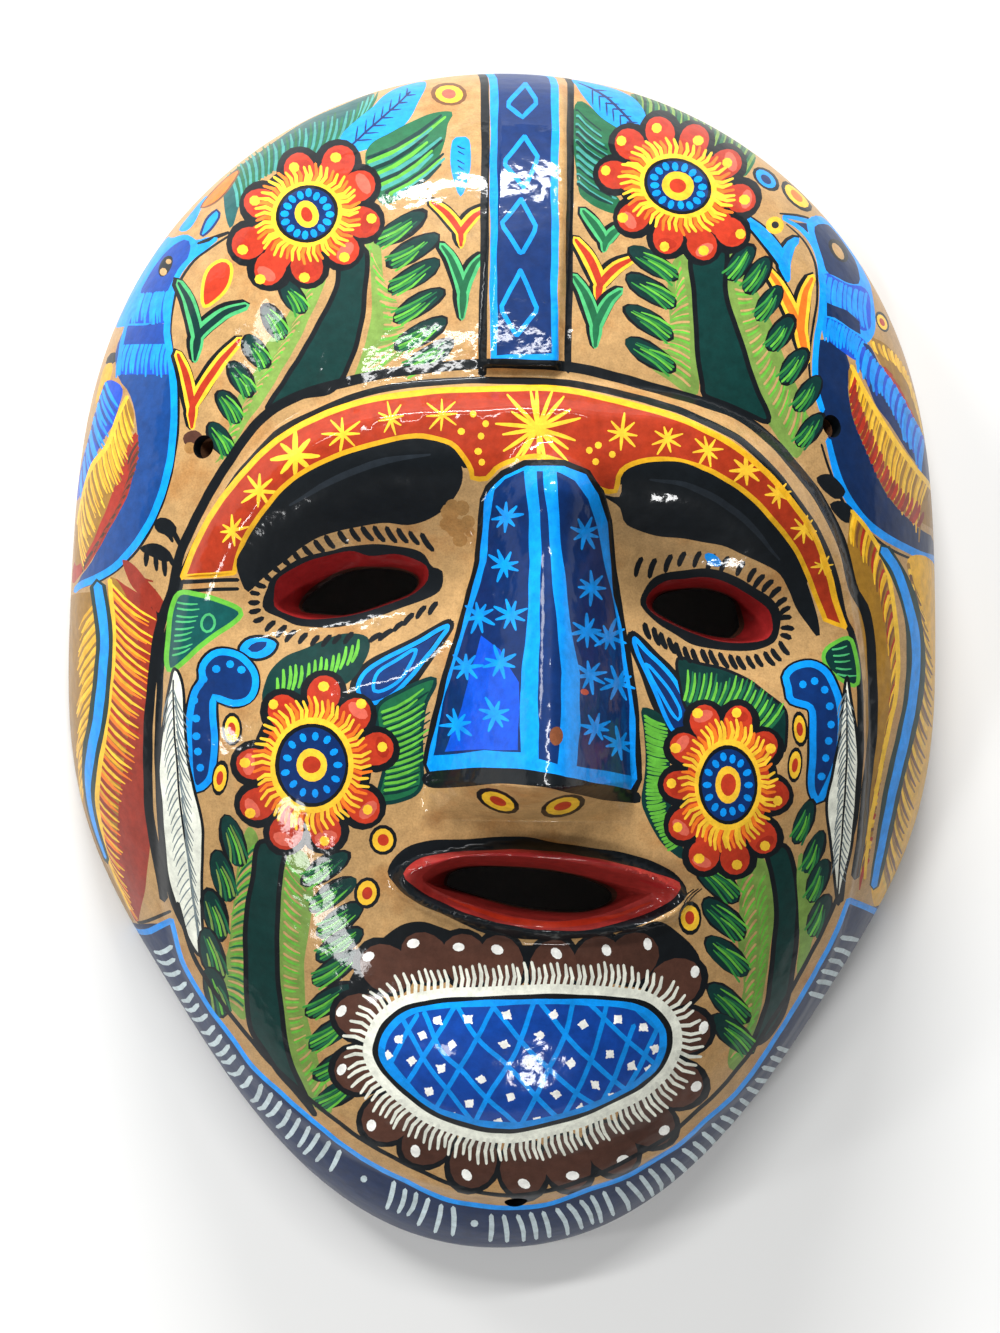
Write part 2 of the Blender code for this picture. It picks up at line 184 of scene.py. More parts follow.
@dataclass(frozen=True)
class MaskForm:
    """Sizes and heights of the carved shell."""

    height: float = 0.260
    width: float = 0.193
    shell_depth: float = 0.062
    wall: float = 0.0075
    rim_width: float = 0.0085
    string_hole: float = 0.0045
    face_step: float = 0.0028
    brow_rise: float = 0.0065
    cheek_rise: float = 0.0025
    lip_rise: float = 0.0045
    chin_rise: float = 0.0065
    band_rise: float = 0.0025
    socket_depth: float = 0.0060
    nose_root_rise: float = 0.0090
    nose_tip_rise: float = 0.0320
    step_slope: float = 0.0030
    brow_slope: float = 0.0070
    brow_crest: float = 0.0075
    brow_fall: float = 0.0220
    lip_slope: float = 0.0030
    lip_roll: float = 0.0060
    band_slope: float = 0.0026
    band_width: float = 0.0155
    nose_underside: float = 0.0080
    rim_radii: tuple[float, ...] = (
        1.0, 1.010, 1.033, 1.058, 1.058, 1.019, 0.997, 0.993, 0.952, 0.939, 0.963, 0.991, 1.0)
    face_radii: tuple[float, ...] = (
        0.442, 0.452, 0.495, 0.574, 0.659, 0.718, 0.751, 0.797, 0.863, 0.897, 0.885, 0.877, 0.881)
    face_centre: Place = (-0.015, 0.0)
    eyes_front: tuple[Oval, ...] = (
        Oval((-0.392, 0.115), (0.163, 0.049), 11.0, 2.2), Oval((0.379, 0.087), (0.145, 0.045), -14.0, 2.2))
    eye_socket: Place = (0.265, 0.122)
    lips: Oval = Oval((0.023, -0.361), (0.299, 0.060), -4.0, 1.9)
    nose_axis: float = 0.016
    nose_lean: float = -0.028
    nose_root: float = 0.307
    nose_tip: float = -0.187
    nose_root_half: float = 0.127
    nose_tip_half: float = 0.218
    nose_rounding: float = 0.30
    nose_hollow: Place = (0.13, 0.20)
    chin_boss: Oval = Oval((-0.003, -0.634), (0.390, 0.172))
    cheeks: tuple[Place, ...] = ((-0.46, -0.18), (0.44, -0.19))
    cheek_spread: Place = (0.23, 0.17)
    band_foot: Place = (-0.040, 0.460)
    band_lean: float = 0.055
    string_holes: tuple[Place, ...] = ((-0.707, 0.333), (0.659, 0.389), (0.009, -0.885))

    @property
    def frame(self) -> Points:
        """Half width and half height."""
        return np.array([self.width / 2.0, self.height / 2.0])

    @property
    def face_bowl(self) -> Bowl:
        """The plain bowl under the carving."""
        return Bowl(self.width / 2.0, self.height / 2.0, self.shell_depth, self.rim_radii)

    @property
    def back_bowl(self) -> Bowl:
        """The plain bowl of the inside."""
        inset = self.rim_width
        return Bowl(self.width / 2.0 - inset, self.height / 2.0 - inset, self.shell_depth - self.wall, self.rim_radii)

    def face_inset(self, plan: Points) -> tuple[Points, Points]:
        """Distance inside the raised face's outline, and the angle from the crown, for each plan point."""
        at = plan / self.frame - np.asarray(self.face_centre)
        angle = np.arctan2(at[:, 0], at[:, 1])
        inside = cosine_outline(self.face_radii, angle) - np.hypot(at[:, 0], at[:, 1])
        ray = np.hypot(np.sin(angle) * self.frame[0], np.cos(angle) * self.frame[1])
        return inside * ray, np.abs(angle)

    def brow(self, plan: Points) -> Points:
        """The arched ridge under the forehead, which dies out at the temples."""
        depth, angle = self.face_inset(plan)
        rise = smooth(depth / self.brow_slope)
        fall = 1.0 - smooth((depth - self.brow_slope - self.brow_crest) / self.brow_fall)
        taper = 1.0 - smooth((angle - math.radians(45.0)) / math.radians(50.0))
        return self.brow_rise * rise * fall * taper

    def nose(self, plan: Points) -> Points:
        """A wedge that widens and rises from the brow to its tip, with a steep underside."""
        root = self.nose_root * self.frame[1]
        tip = self.nose_tip * self.frame[1]
        along = (root - plan[:, 1]) / (root - tip)
        reach = np.clip(along, 0.0, 1.2)
        half = (self.nose_root_half + (self.nose_tip_half - self.nose_root_half) * reach) * self.frame[0]
        across = np.abs(plan[:, 0] - (self.nose_axis + self.nose_lean * reach) * self.frame[0]) / half
        ridge = self.nose_root_rise + (self.nose_tip_rise - self.nose_root_rise) * np.clip(along, 0.0, 1.0)
        e = self.nose_rounding
        peak = (np.hypot(across, e) - e) / (math.hypot(1.0, e) - e)
        bridge = np.sqrt(np.clip(1.0 - across**2, 0.0, 1.0)) * half
        start = smooth((root + bridge - half - plan[:, 1]) / half + 0.5)
        under = np.clip((plan[:, 1] - tip) / self.nose_underside + 1.0, 0.0, 1.0)
        return ridge * np.clip(1.0 - peak, 0.0, 1.0) * start * under

    def band(self, plan: Points) -> Points:
        """The raised strip from the brow over the crown."""
        foot_x, foot_y = self.band_foot
        height = plan[:, 1] / self.frame[1]
        axis = (foot_x + self.band_lean * (height - foot_y) / (1.0 - foot_y)) * self.frame[0]
        side = smooth((self.band_width / 2.0 - np.abs(plan[:, 0] - axis)) / self.band_slope + 0.5)
        return self.band_rise * side * smooth((plan[:, 1] - foot_y * self.frame[1]) / self.band_slope + 0.5)

    def lip(self, plan: Points) -> Points:
        """A rolled lip round the mouth, steep outside its crest and gentler inside."""
        reach = self.lips.reach(plan, self.frame)
        outer = 1.0 - smooth(reach / self.lip_slope)
        return self.lip_rise * np.where(reach > 0.0, outer, 1.0 - smooth(-reach / self.lip_roll))

    def soft(self, plan: Points) -> Points:
        """The broad forms that the inside follows too: sockets, cheeks and chin."""
        total = np.zeros(len(plan))
        for eye in self.eyes_front:
            offset = eye.offsets(plan, self.frame) / (np.asarray(self.eye_socket) * self.frame)
            total -= self.socket_depth * np.exp(-((offset**2).sum(axis=1) ** 1.5))
        for centre in self.cheeks:
            offset = (plan / self.frame - np.asarray(centre)) / np.asarray(self.cheek_spread)
            total += self.cheek_rise * np.exp(-(offset**2).sum(axis=1))
        measure = self.chin_boss.measure(plan, self.frame)
        return total + self.chin_rise * (1.0 - smooth((measure - 0.25) / 0.80))

    def unevenness(self, plan: Points) -> Points:
        """The slight waviness that thumbs leave in pressed clay."""
        x, y = plan[:, 0] * 1000.0, plan[:, 1] * 1000.0
        waves = np.sin(x / 6.1 + 1.3 * np.sin(y / 9.7)) * np.sin(y / 7.3 + 1.1 * np.sin(x / 11.9))
        waves += 0.8 * np.sin((x + y) / 12.7 + 2.0) * np.sin((x - 0.7 * y) / 10.3)
        return 0.00011 * waves

    def face(self, plan: Points) -> Points:
        """Height of the carved face over each plan point."""
        depth, _ = self.face_inset(plan)
        carving = self.face_step * smooth(depth / self.step_slope + 0.5)
        carving += self.brow(plan) + self.soft(plan) + self.band(plan) + self.lip(plan) + self.nose(plan)
        carving += self.unevenness(plan)
        fade = 1.0 - smooth((self.face_bowl.share(plan) - 0.93) / 0.07)
        return self.face_bowl.height(plan) + carving * fade

    def inside(self, plan: Points) -> Points:
        """Height of the hollow's skin over each plan point."""
        nose_y = (self.nose_tip * 0.55 + self.nose_root * 0.45) * self.frame[1]
        offset = plan - np.array([(self.nose_axis + self.nose_lean * 0.55) * self.frame[0], nose_y])
        offset = offset / (np.array(self.nose_hollow) * self.frame)
        hollow = 0.45 * self.nose_tip_rise * np.exp(-(offset**2).sum(axis=1))
        soft = self.soft(plan)
        sunk = np.minimum(soft, 0.0) + 0.4 * np.maximum(soft, 0.0)
        fade = 1.0 - smooth((self.back_bowl.share(plan) - 0.80) / 0.20)
        uneven = 1.6 * self.unevenness(plan)
        return self.back_bowl.height(plan) + (hollow + sunk + 0.5 * self.brow(plan) + uneven) * fade

    def string_hole_rings(self, centre: Place, count: int, flare: float = 1.0) -> tuple[Points, Points]:
        """Outlines of a string hole on the face and, straight through the wall, on the inside.

        Args:
            centre: the hole's place in shares of the half sizes.
            count: points in each outline.
            flare: widening of the outline on the face.

        Returns:
            The two closed rings in plan.
        """
        middle = np.asarray(centre) * self.frame
        step = 1e-4
        around = np.array([[step, 0.0], [-step, 0.0], [0.0, step], [0.0, -step]]) + middle
        level = self.face_bowl.height(around)
        normal = np.array([level[1] - level[0], level[3] - level[2], 2.0 * step])
        normal /= np.linalg.norm(normal)
        side = np.cross(normal, [0.0, 0.0, 1.0])
        side /= np.linalg.norm(side)
        other = np.cross(normal, side)
        angle = np.linspace(0.0, 2.0 * np.pi, count, endpoint=False)[:, None]
        ring = self.string_hole / 2.0 * (np.cos(angle) * side + np.sin(angle) * other)
        start = np.array([*middle, self.face(middle[None])[0]])
        front = meeting(start + ring * flare, normal, self.face, -self.wall, self.wall)
        back = meeting(start + ring, normal, self.inside, -5.0 * self.wall, 0.0)
        return front, back


def meeting(start: Points, direction: Points, height: Callable[[Points], Points], low: float, high: float) -> Points:
    """Where lines from the start points meet a skin.

    Args:
        start: points that the lines pass through.
        direction: the lines' shared direction, outwards.
        height: the skin's height over plan points.
        low: distance along the lines to a place inside the skin.
        high: distance along the lines to a place outside it.

    Returns:
        The plan points of the meetings.
    """
    lows = np.full(len(start), low)
    highs = np.full(len(start), high)
    for _ in range(36):
        middle = (lows + highs) / 2.0
        at = start + direction * middle[:, None]
        outside = at[:, 2] > height(at[:, :2])
        highs = np.where(outside, middle, highs)
        lows = np.where(outside, lows, middle)
    return (start + direction * lows[:, None])[:, :2]


@dataclass(frozen=True)
class Viewpoint:
    """The eye in front of the mask, and the drawing grid that lies over its view."""

    eye: tuple[float, float, float] = (-0.0788, 0.0, 0.75)
    aim: tuple[float, float, float] = (-0.00308, -0.00123, 0.020)
    focal: float = 3390.0
    roll: float = 0.0164
    grid: tuple[float, float] = (1000.0, 1333.0)

    def axes(self) -> Points:
        """The view's right, up and forward directions, as rows."""
        forward = np.array(self.aim) - np.array(self.eye)
        forward /= np.linalg.norm(forward)
        right = np.cross(forward, [0.0, 1.0, 0.0])
        right /= np.linalg.norm(right)
        up = np.cross(right, forward)
        c, s = math.cos(self.roll), math.sin(self.roll)
        return np.array([c * right + s * up, -s * right + c * up, forward])

    def drawn(self, points: Points) -> Points:
        """Grid places of points in space."""
        local = (points - np.array(self.eye)) @ self.axes().T
        scale = self.focal / local[:, 2]
        return np.column_stack([self.grid[0] / 2 + scale * local[:, 0], self.grid[1] / 2 - scale * local[:, 1]])

    def landed(self, places: Points, height: Callable[[Points], Points], top: float) -> tuple[Points, Points]:
        """Plan points where sight lines through grid places first meet a skin, and whether they meet it.

        Args:
            places: grid places.
            height: the skin's height over plan points, below zero off the skin.
            top: a height above all of the skin.

        Returns:
            The plan points, and a mask of the lines that meet the skin.
        """
        flat = np.column_stack([places[:, 0] - self.grid[0] / 2, self.grid[1] / 2 - places[:, 1]]) / self.focal
        rays = np.column_stack([flat, np.ones(len(flat))]) @ self.axes()
        eye = np.array(self.eye)

        def at(level: Points) -> Points:
            """Plan points of the sight lines at a height."""
            return (eye + rays * ((level - eye[2]) / rays[:, 2])[:, None])[:, :2]

        above = np.full(len(places), top)
        below = np.zeros(len(places))
        met = np.zeros(len(places), bool)
        for level in np.linspace(top, 0.0, 90):
            levels = np.full(len(places), level)
            inside = (height(at(levels)) >= level) & ~met
            below = np.where(inside, level, below)
            met |= inside
            above = np.where(met, above, level)
        for _ in range(22):
            middle = (above + below) / 2.0
            inside = height(at(middle)) >= middle
            below = np.where(inside, middle, below)
            above = np.where(inside, above, middle)
        return at(below), met

    def camera(self) -> bpy.types.Object:
        """Makes the camera that sees the drawing grid as its picture."""
        data = bpy.data.cameras.new("camera")
        data.sensor_fit = "VERTICAL"
        data.sensor_height = 36.0
        data.lens = self.focal / self.grid[1] * 36.0
        data.clip_start = 0.01
        camera = bpy.data.objects.new("camera", data)
        right, up, forward = self.axes()
        matrix = camera.matrix_world.to_3x3()
        for row in range(3):
            matrix[row] = (right[row], up[row], -forward[row])
        camera.matrix_world = matrix.to_4x4()
        camera.location = self.eye
        bpy.context.scene.collection.objects.link(camera)
        bpy.context.scene.camera = camera
        return camera


class Hue(Enum):
    """The painter's colours, as they look in daylight, from 0 to 255, and a lighter grey for the painted highlight on
    the black brows.
    """

    TAN = (176, 140, 92)
    DEEP_TAN = (158, 118, 68)
    CLAY = (112, 72, 42)
    BLACK = (13, 18, 22)
    NAVY = (6, 40, 92)
    ROYAL = (6, 72, 190)
    SKY = (4, 138, 226)
    DEEP_GREEN = (6, 46, 43)
    GREEN = (24, 92, 58)
    LEAF = (112, 142, 66)
    BRIGHT_LEAF = (92, 168, 56)
    MINT = (70, 168, 104)
    TEAL = (24, 84, 84)
    PALE_TEAL = (62, 140, 132)
    TEAL_DARK = (12, 74, 72)
    GOLD = (214, 160, 30)
    GOLD_BROWN = (146, 106, 34)
    DARK_RED = (134, 44, 30)
    CLAY_RED = (124, 74, 48)
    PETAL_PINK = (196, 90, 72)
    # painted highlight: a lighter grey laid over the black brows where light glints on them
    SOOT = (30, 36, 42)
    MIST = (186, 202, 206)
    JAW_NAVY = (6, 34, 74)
    BIRD_BLUE = (14, 60, 122)
    GREY = (104, 116, 120)
    MID_LEAF = (52, 132, 54)
    CHIN_BLUE = (12, 62, 146)
    RED = (160, 42, 24)
    BROW_RED = (150, 46, 22)
    FLOWER_RED = (172, 50, 28)
    LIP_RED = (136, 40, 36)
    EYE_RED = (140, 32, 32)
    ORANGE = (222, 112, 32)
    YELLOW = (230, 182, 48)
    BROWN = (74, 46, 36)
    CREAM = (222, 224, 210)
    WHITE = (238, 238, 232)

    @property
    def light(self) -> tuple[float, float, float]:
        """The colour as linear light."""
        share = np.asarray(self.value) / 255.0
        return tuple(np.where(share <= 0.04045, share / 12.92, ((share + 0.055) / 1.055) ** 2.4))


@dataclass(frozen=True)
class Patch:
    """One touch of the brush: a closed outline on the drawing grid, and its colour, bare for a chip."""

    outline: Points
    colour: tuple[float, float, float]
    bare: bool = False


def even_steps(line: Points, spacing: float, closed: bool) -> Points:
    """Points at about even steps along a line, its ends kept when it is open."""
    if closed:
        line = np.vstack([line, line[:1]])
    lengths = np.concatenate([[0.0], np.cumsum(np.hypot(*np.diff(line, axis=0).T))])
    count = max(3 if closed else 1, round(lengths[-1] / spacing))
    at = np.linspace(0.0, lengths[-1], count + 1)
    found = np.column_stack([np.interp(at, lengths, line[:, 0]), np.interp(at, lengths, line[:, 1])])
    return found[:-1] if closed else found


def places(text: str) -> Points:
    """Places written as x,y pairs with spaces between them."""
    return np.array([[float(part) for part in pair.split(",")] for pair in text.split()])


def read(points: Line) -> Points:
    """Places as an array, whichever way they are given."""
    return places(points) if isinstance(points, str) else np.asarray(points, float)


def turned(offset: Points, tilt: float) -> Points:
    """An offset turned by an angle in degrees."""
    c, s = math.cos(math.radians(tilt)), math.sin(math.radians(tilt))
    return np.column_stack([offset[..., 0] * c - offset[..., 1] * s, offset[..., 0] * s + offset[..., 1] * c]).squeeze()


def oval(centre: Sequence[float], half: Sequence[float], tilt: float = 0.0, count: int = 16) -> Points:
    """Outline of an oval on the drawing grid."""
    angle = np.linspace(0.0, 2.0 * np.pi, count, endpoint=False)
    return turned(np.column_stack([half[0] * np.cos(angle), half[1] * np.sin(angle)]), tilt) + np.asarray(centre)


def curve(points: Line, spacing: float, closed: bool = False) -> Points:
    """A smooth line through the points, in about even steps.

    Args:
        points: places that the line passes through.
        spacing: length of a step.
        closed: whether the line comes back to its start.

    Returns:
        The places along the line.
    """
    p = read(points)
    if len(p) < 3:
        return even_steps(p, spacing, closed)
    if closed:
        q = np.vstack([p[-1:], p, p[:2]])
    else:
        q = np.vstack([2 * p[:1] - p[1:2], p, 2 * p[-1:] - p[-2:-1]])
    t = np.linspace(0.0, 1.0, 11)[None, :-1, None]
    a, b, c, d = (q[k : len(q) - 3 + k, None] for k in range(4))
    spans = 0.5 * (2 * b + (c - a) * t + (2 * a - 5 * b + 4 * c - d) * t**2 + (3 * b - a - 3 * c + d) * t**3)
    dense = spans.reshape(-1, 2)
    return even_steps(dense if closed else np.vstack([dense, p[-1:]]), spacing, closed)


def brushed(path: Points, width: float, start: float, end: float) -> Points:
    """Outline of a brush stroke along a path.

    Args:
        path: places along the stroke.
        width: its width at the widest.
        start: width of its start, as a share.
        end: width of its end, as a share.

    Returns:
        The closed outline.
    """
    along = np.gradient(path, axis=0)
    along /= np.maximum(np.hypot(*along.T), 1e-9)[:, None]
    across = np.column_stack([-along[:, 1], along[:, 0]])
    share = np.linspace(0.0, 1.0, len(path))
    half = width / 2.0 * (1.0 - (1.0 - np.interp(share, (0.0, 0.4, 0.6, 1.0), (start, 1.0, 1.0, end))) ** 1.5)
    left, right = path + across * half[:, None], path - across * half[:, None]
    tips = path[:1] - along[:1] * half[0], path[-1:] + along[-1:] * half[-1]
    return np.vstack([tips[0], left, tips[1], right[::-1]])


class Canvas:
    """All touches of the brush, in the order in which they are laid on."""

    def __init__(self, seed: int = 7) -> None:
        """Starts with no paint.

        Args:
            seed: start of the unevenness of the hand.
        """
        self.patches: list[Patch] = []
        self.hand = np.random.default_rng(seed)

    def uneven(self, outline: Points, amount: float) -> Points:
        """Moves an outline a little, as an unsteady hand does."""
        if amount <= 0.0:
            return outline
        phase = self.hand.uniform(0.0, 6.28, 4)
        x, y = outline.T
        shift = np.column_stack([
            np.sin(x / 11.0 + y / 17.0 + phase[0]) + 0.5 * np.sin(x / 5.3 - y / 7.0 + phase[1]),
            np.sin(y / 12.0 - x / 19.0 + phase[2]) + 0.5 * np.sin(y / 5.9 + x / 7.7 + phase[3]),
        ])
        return outline + amount * 0.7 * shift

    def toned(self, hue: Hue, spread: float) -> tuple[float, float, float]:
        """A colour with the small differences between one brushful and the next."""
        tone = 1.0 + self.hand.uniform(-spread, spread)
        return tuple(min(1.0, part * tone) for part in hue.light)

    def lay(self, outline: Points, hue: Hue, unsteady: float = 0.8, spread: float = 0.10, bare: bool = False) -> None:
        """Fills an outline with a colour.

        Args:
            outline: closed outline on the drawing grid.
            hue: the colour.
            unsteady: how much the hand wanders.
            spread: difference in tone from one brushful to the next.
            bare: whether it is a chip, without brush marks and varnish.
        """
        colour = self.toned(hue, spread)
        self.patches.append(Patch(self.uneven(outline, unsteady), colour, bare))

    def fill(self, points: Line, hue: Hue, step: float = 5.0, **more: object) -> None:
        """Fills a smooth closed shape through the points."""
        self.lay(curve(points, step, closed=True), hue, **more)

    def shape(self, points: Line, hue: Hue, step: float = 6.0, **more: object) -> None:
        """Fills a shape with straight sides and sharp corners."""
        p = read(points)
        sides = [even_steps(np.vstack([p[k], p[(k + 1) % len(p)]]), step, False)[:-1] for k in range(len(p))]
        self.lay(np.vstack(sides), hue, **more)

    def stroke(self, points: Line, width: float, hue: Hue, tips: tuple[float, float] = (0.7, 0.7),
               step: float = 6.0, **more: object) -> None:
        """Draws a brush stroke through the points.

        Args:
            points: places that the stroke passes through.
            width: its width at the widest.
            hue: its colour.
            tips: width at its start and end, as shares.
            step: length of a step along it.
            more: what lay takes.
        """
        more.setdefault("unsteady", 0.5)
        self.lay(brushed(curve(points, step), width, *tips), hue, **more)

    def loop(self, points: Line, width: float, hue: Hue, step: float = 5.0, smooth_line: bool = True) -> None:
        """Draws a closed line, as two halves so that no outline crosses itself."""
        line = curve(points, step, closed=True) if smooth_line else even_steps(read(points), step, True)
        line = self.uneven(line, 0.6)
        middle = len(line) // 2
        for part in (line[: middle + 1], np.vstack([line[middle:], line[:1]])):
            self.lay(brushed(part, width, 1.0, 1.0), hue, unsteady=0.0)

    def outlined(self, points: Line, hue: Hue, edge: Hue, width: float, step: float = 5.0) -> None:
        """Fills a smooth shape and draws its edge."""
        self.fill(points, hue, step)
        self.loop(points, width, edge, step)

    def comb(self, line: Line, first: Place, last: Place, count: int, width: float, hue: Hue | tuple[Hue, ...],
             tips: tuple[float, float] = (0.9, 0.35), bow: float = 0.06, **more: object) -> None:
        """Draws a row of strokes that start from even places along a line.

        Args:
            line: the line that they start from.
            first: run of the first stroke.
            last: run of the last stroke.
            count: number of strokes.
            width: width of each at the widest.
            hue: their colour, or several in turn.
            tips: width at the start and end of each, as shares.
            bow: how far each bows, as a share of its run.
            more: what lay takes.
        """
        roots = curve(line, 2.0)
        hues = hue if isinstance(hue, tuple) else (hue,)
        for number in range(count):
            share = number / max(count - 1, 1)
            root = roots[round(share * (len(roots) - 1))]
            run = np.asarray(first, float) * (1.0 - share) + np.asarray(last, float) * share
            run = run * self.hand.uniform(0.85, 1.15)
            middle = root + run / 2.0 + bow * np.array([-run[1], run[0]])
            step = max(5.0, math.hypot(*run) / 3.0)
            self.stroke([root, middle, root + run], width, hues[number % len(hues)], tips, step, **more)

    def rays(self, centre: Points, half: Points, reach: Points, count: int, width: float, hues: tuple[Hue, ...],
             tilt: float = 0.0, bend: float = 0.0) -> None:
        """Draws strokes outwards from an oval.

        Args:
            centre: middle of the oval.
            half: half sizes of the oval.
            reach: how far the strokes go beyond it, along each half size.
            count: number of strokes.
            width: their width.
            hues: their colours in turn.
            tilt: turn of the oval in degrees.
            bend: how far each stroke bows, as a share of its run.
        """
        for number in range(count):
            angle = 2.0 * math.pi * (number + self.hand.uniform(-0.15, 0.15)) / count
            way = np.array([math.cos(angle), math.sin(angle)])
            root = centre + turned(way * half, tilt)
            tip = centre + turned(way * (half + reach * self.hand.uniform(0.85, 1.12)), tilt)
            run = tip - root
            middle = root + run / 2.0 + bend * np.array([-run[1], run[0]])
            self.stroke([root, middle, tip], width, hues[number % len(hues)], (0.9, 0.5), 9.0)

    def dot(self, place: Place, radius: float, hue: Hue, sides: int = 8, bare: bool = False) -> None:
        """Sets down one dot with the tip of the brush."""
        angle = np.linspace(0.0, 2.0 * np.pi, sides, endpoint=False) + self.hand.uniform(0.0, 1.0)
        long = radius * self.hand.uniform(0.92, 1.12)
        outline = np.column_stack([long * np.cos(angle), radius * np.sin(angle)]) + np.asarray(place)
        self.lay(outline, hue, 0.0, 0.06, bare)

    def dots(self, places: Iterable[Place], radius: float, hue: Hue) -> None:
        """Sets down a dot at each place."""
        for place in places:
            jitter = self.hand.uniform(-0.12, 0.12, 2) * radius
            self.dot((place[0] + jitter[0], place[1] + jitter[1]), radius, hue)


def winding(points: Points, outline: Points) -> Points:
    """How many times a closed outline goes round each point."""
    start, end = outline, np.roll(outline, -1, axis=0)
    rises = end[:, 1] - start[:, 1]
    up = (start[:, 1] <= points[:, 1, None]) & (end[:, 1] > points[:, 1, None])
    down = (start[:, 1] > points[:, 1, None]) & (end[:, 1] <= points[:, 1, None])
    side = (end[:, 0] - start[:, 0]) * (points[:, 1, None] - start[:, 1]) - (points[:, 0, None] - start[:, 0]) * rises
    return (up & (side > 0.0)).sum(axis=1) - (down & (side < 0.0)).sum(axis=1)


class Near:
    """Finds the points of a set that lie in a box, for quick tests of many small outlines."""

    def __init__(self, points: Points) -> None:
        """Sorts the points once.

        Args:
            points: places in a plane.
        """
        self.order = np.argsort(points[:, 0])
        self.points = points[self.order]

    def inside(self, outline: Points) -> Points:
        """Indices of the points inside a closed outline."""
        low, high = outline.min(axis=0), outline.max(axis=0)
        first, last = np.searchsorted(self.points[:, 0], [low[0], high[0]])
        part = self.points[first:last]
        rows = np.nonzero((part[:, 1] >= low[1]) & (part[:, 1] <= high[1]))[0]
        found = rows[winding(part[rows], outline) != 0]
        return self.order[first + found]


def crowded(points: Points, others: Points, reach: float) -> Points:
    """Whether each point has one of the others about this near, for each point."""
    cell = reach / 1.5
    low = np.minimum(points.min(axis=0), others.min(axis=0)) - 3.0 * cell
    size = np.ceil((np.maximum(points.max(axis=0), others.max(axis=0)) - low) / cell).astype(int) + 4
    taken = np.zeros(size, bool)
    at = ((others - low) / cell).astype(int)
    taken[at[:, 0], at[:, 1]] = True
    wide = taken.copy()
    for dx in (-1, 0, 1):
        for dy in (-1, 0, 1):
            wide |= np.roll(np.roll(taken, dx, axis=0), dy, axis=1)
    here = ((points - low) / cell).astype(int)
    return wide[here[:, 0], here[:, 1]]


@dataclass
class Corners:
    """Mesh corners gathered piece by piece: faces, colours, thickness of paint, normals, layout and material."""

    faces: list[Points] = field(default_factory=list)
    colours: list[Points] = field(default_factory=list)
    bodies: list[Points] = field(default_factory=list)
    normals: list[Points] = field(default_factory=list)
    layout: list[Points] = field(default_factory=list)
    materials: list[Points] = field(default_factory=list)

    def add(self, faces: Points, colours: Points, bodies: Points, normals: Points, layout: Points,
            material: int) -> None:
        """Adds triangles, each array after the first with a row for each corner.

        Args:
            faces: three vertex numbers a triangle.
            colours: linear red, green and blue.
            bodies: 1 where there is paint, 0 on the wash and on chips, -1 on bare clay.
            normals: shading normals, or zeros for the face's own.
            layout: places on the flat layout.
            material: number of the material.
        """
        self.faces.append(faces)
        self.colours.append(colours)
        self.bodies.append(bodies)
        self.normals.append(normals)
        self.layout.append(layout)
        self.materials.append(np.full(len(faces), material))


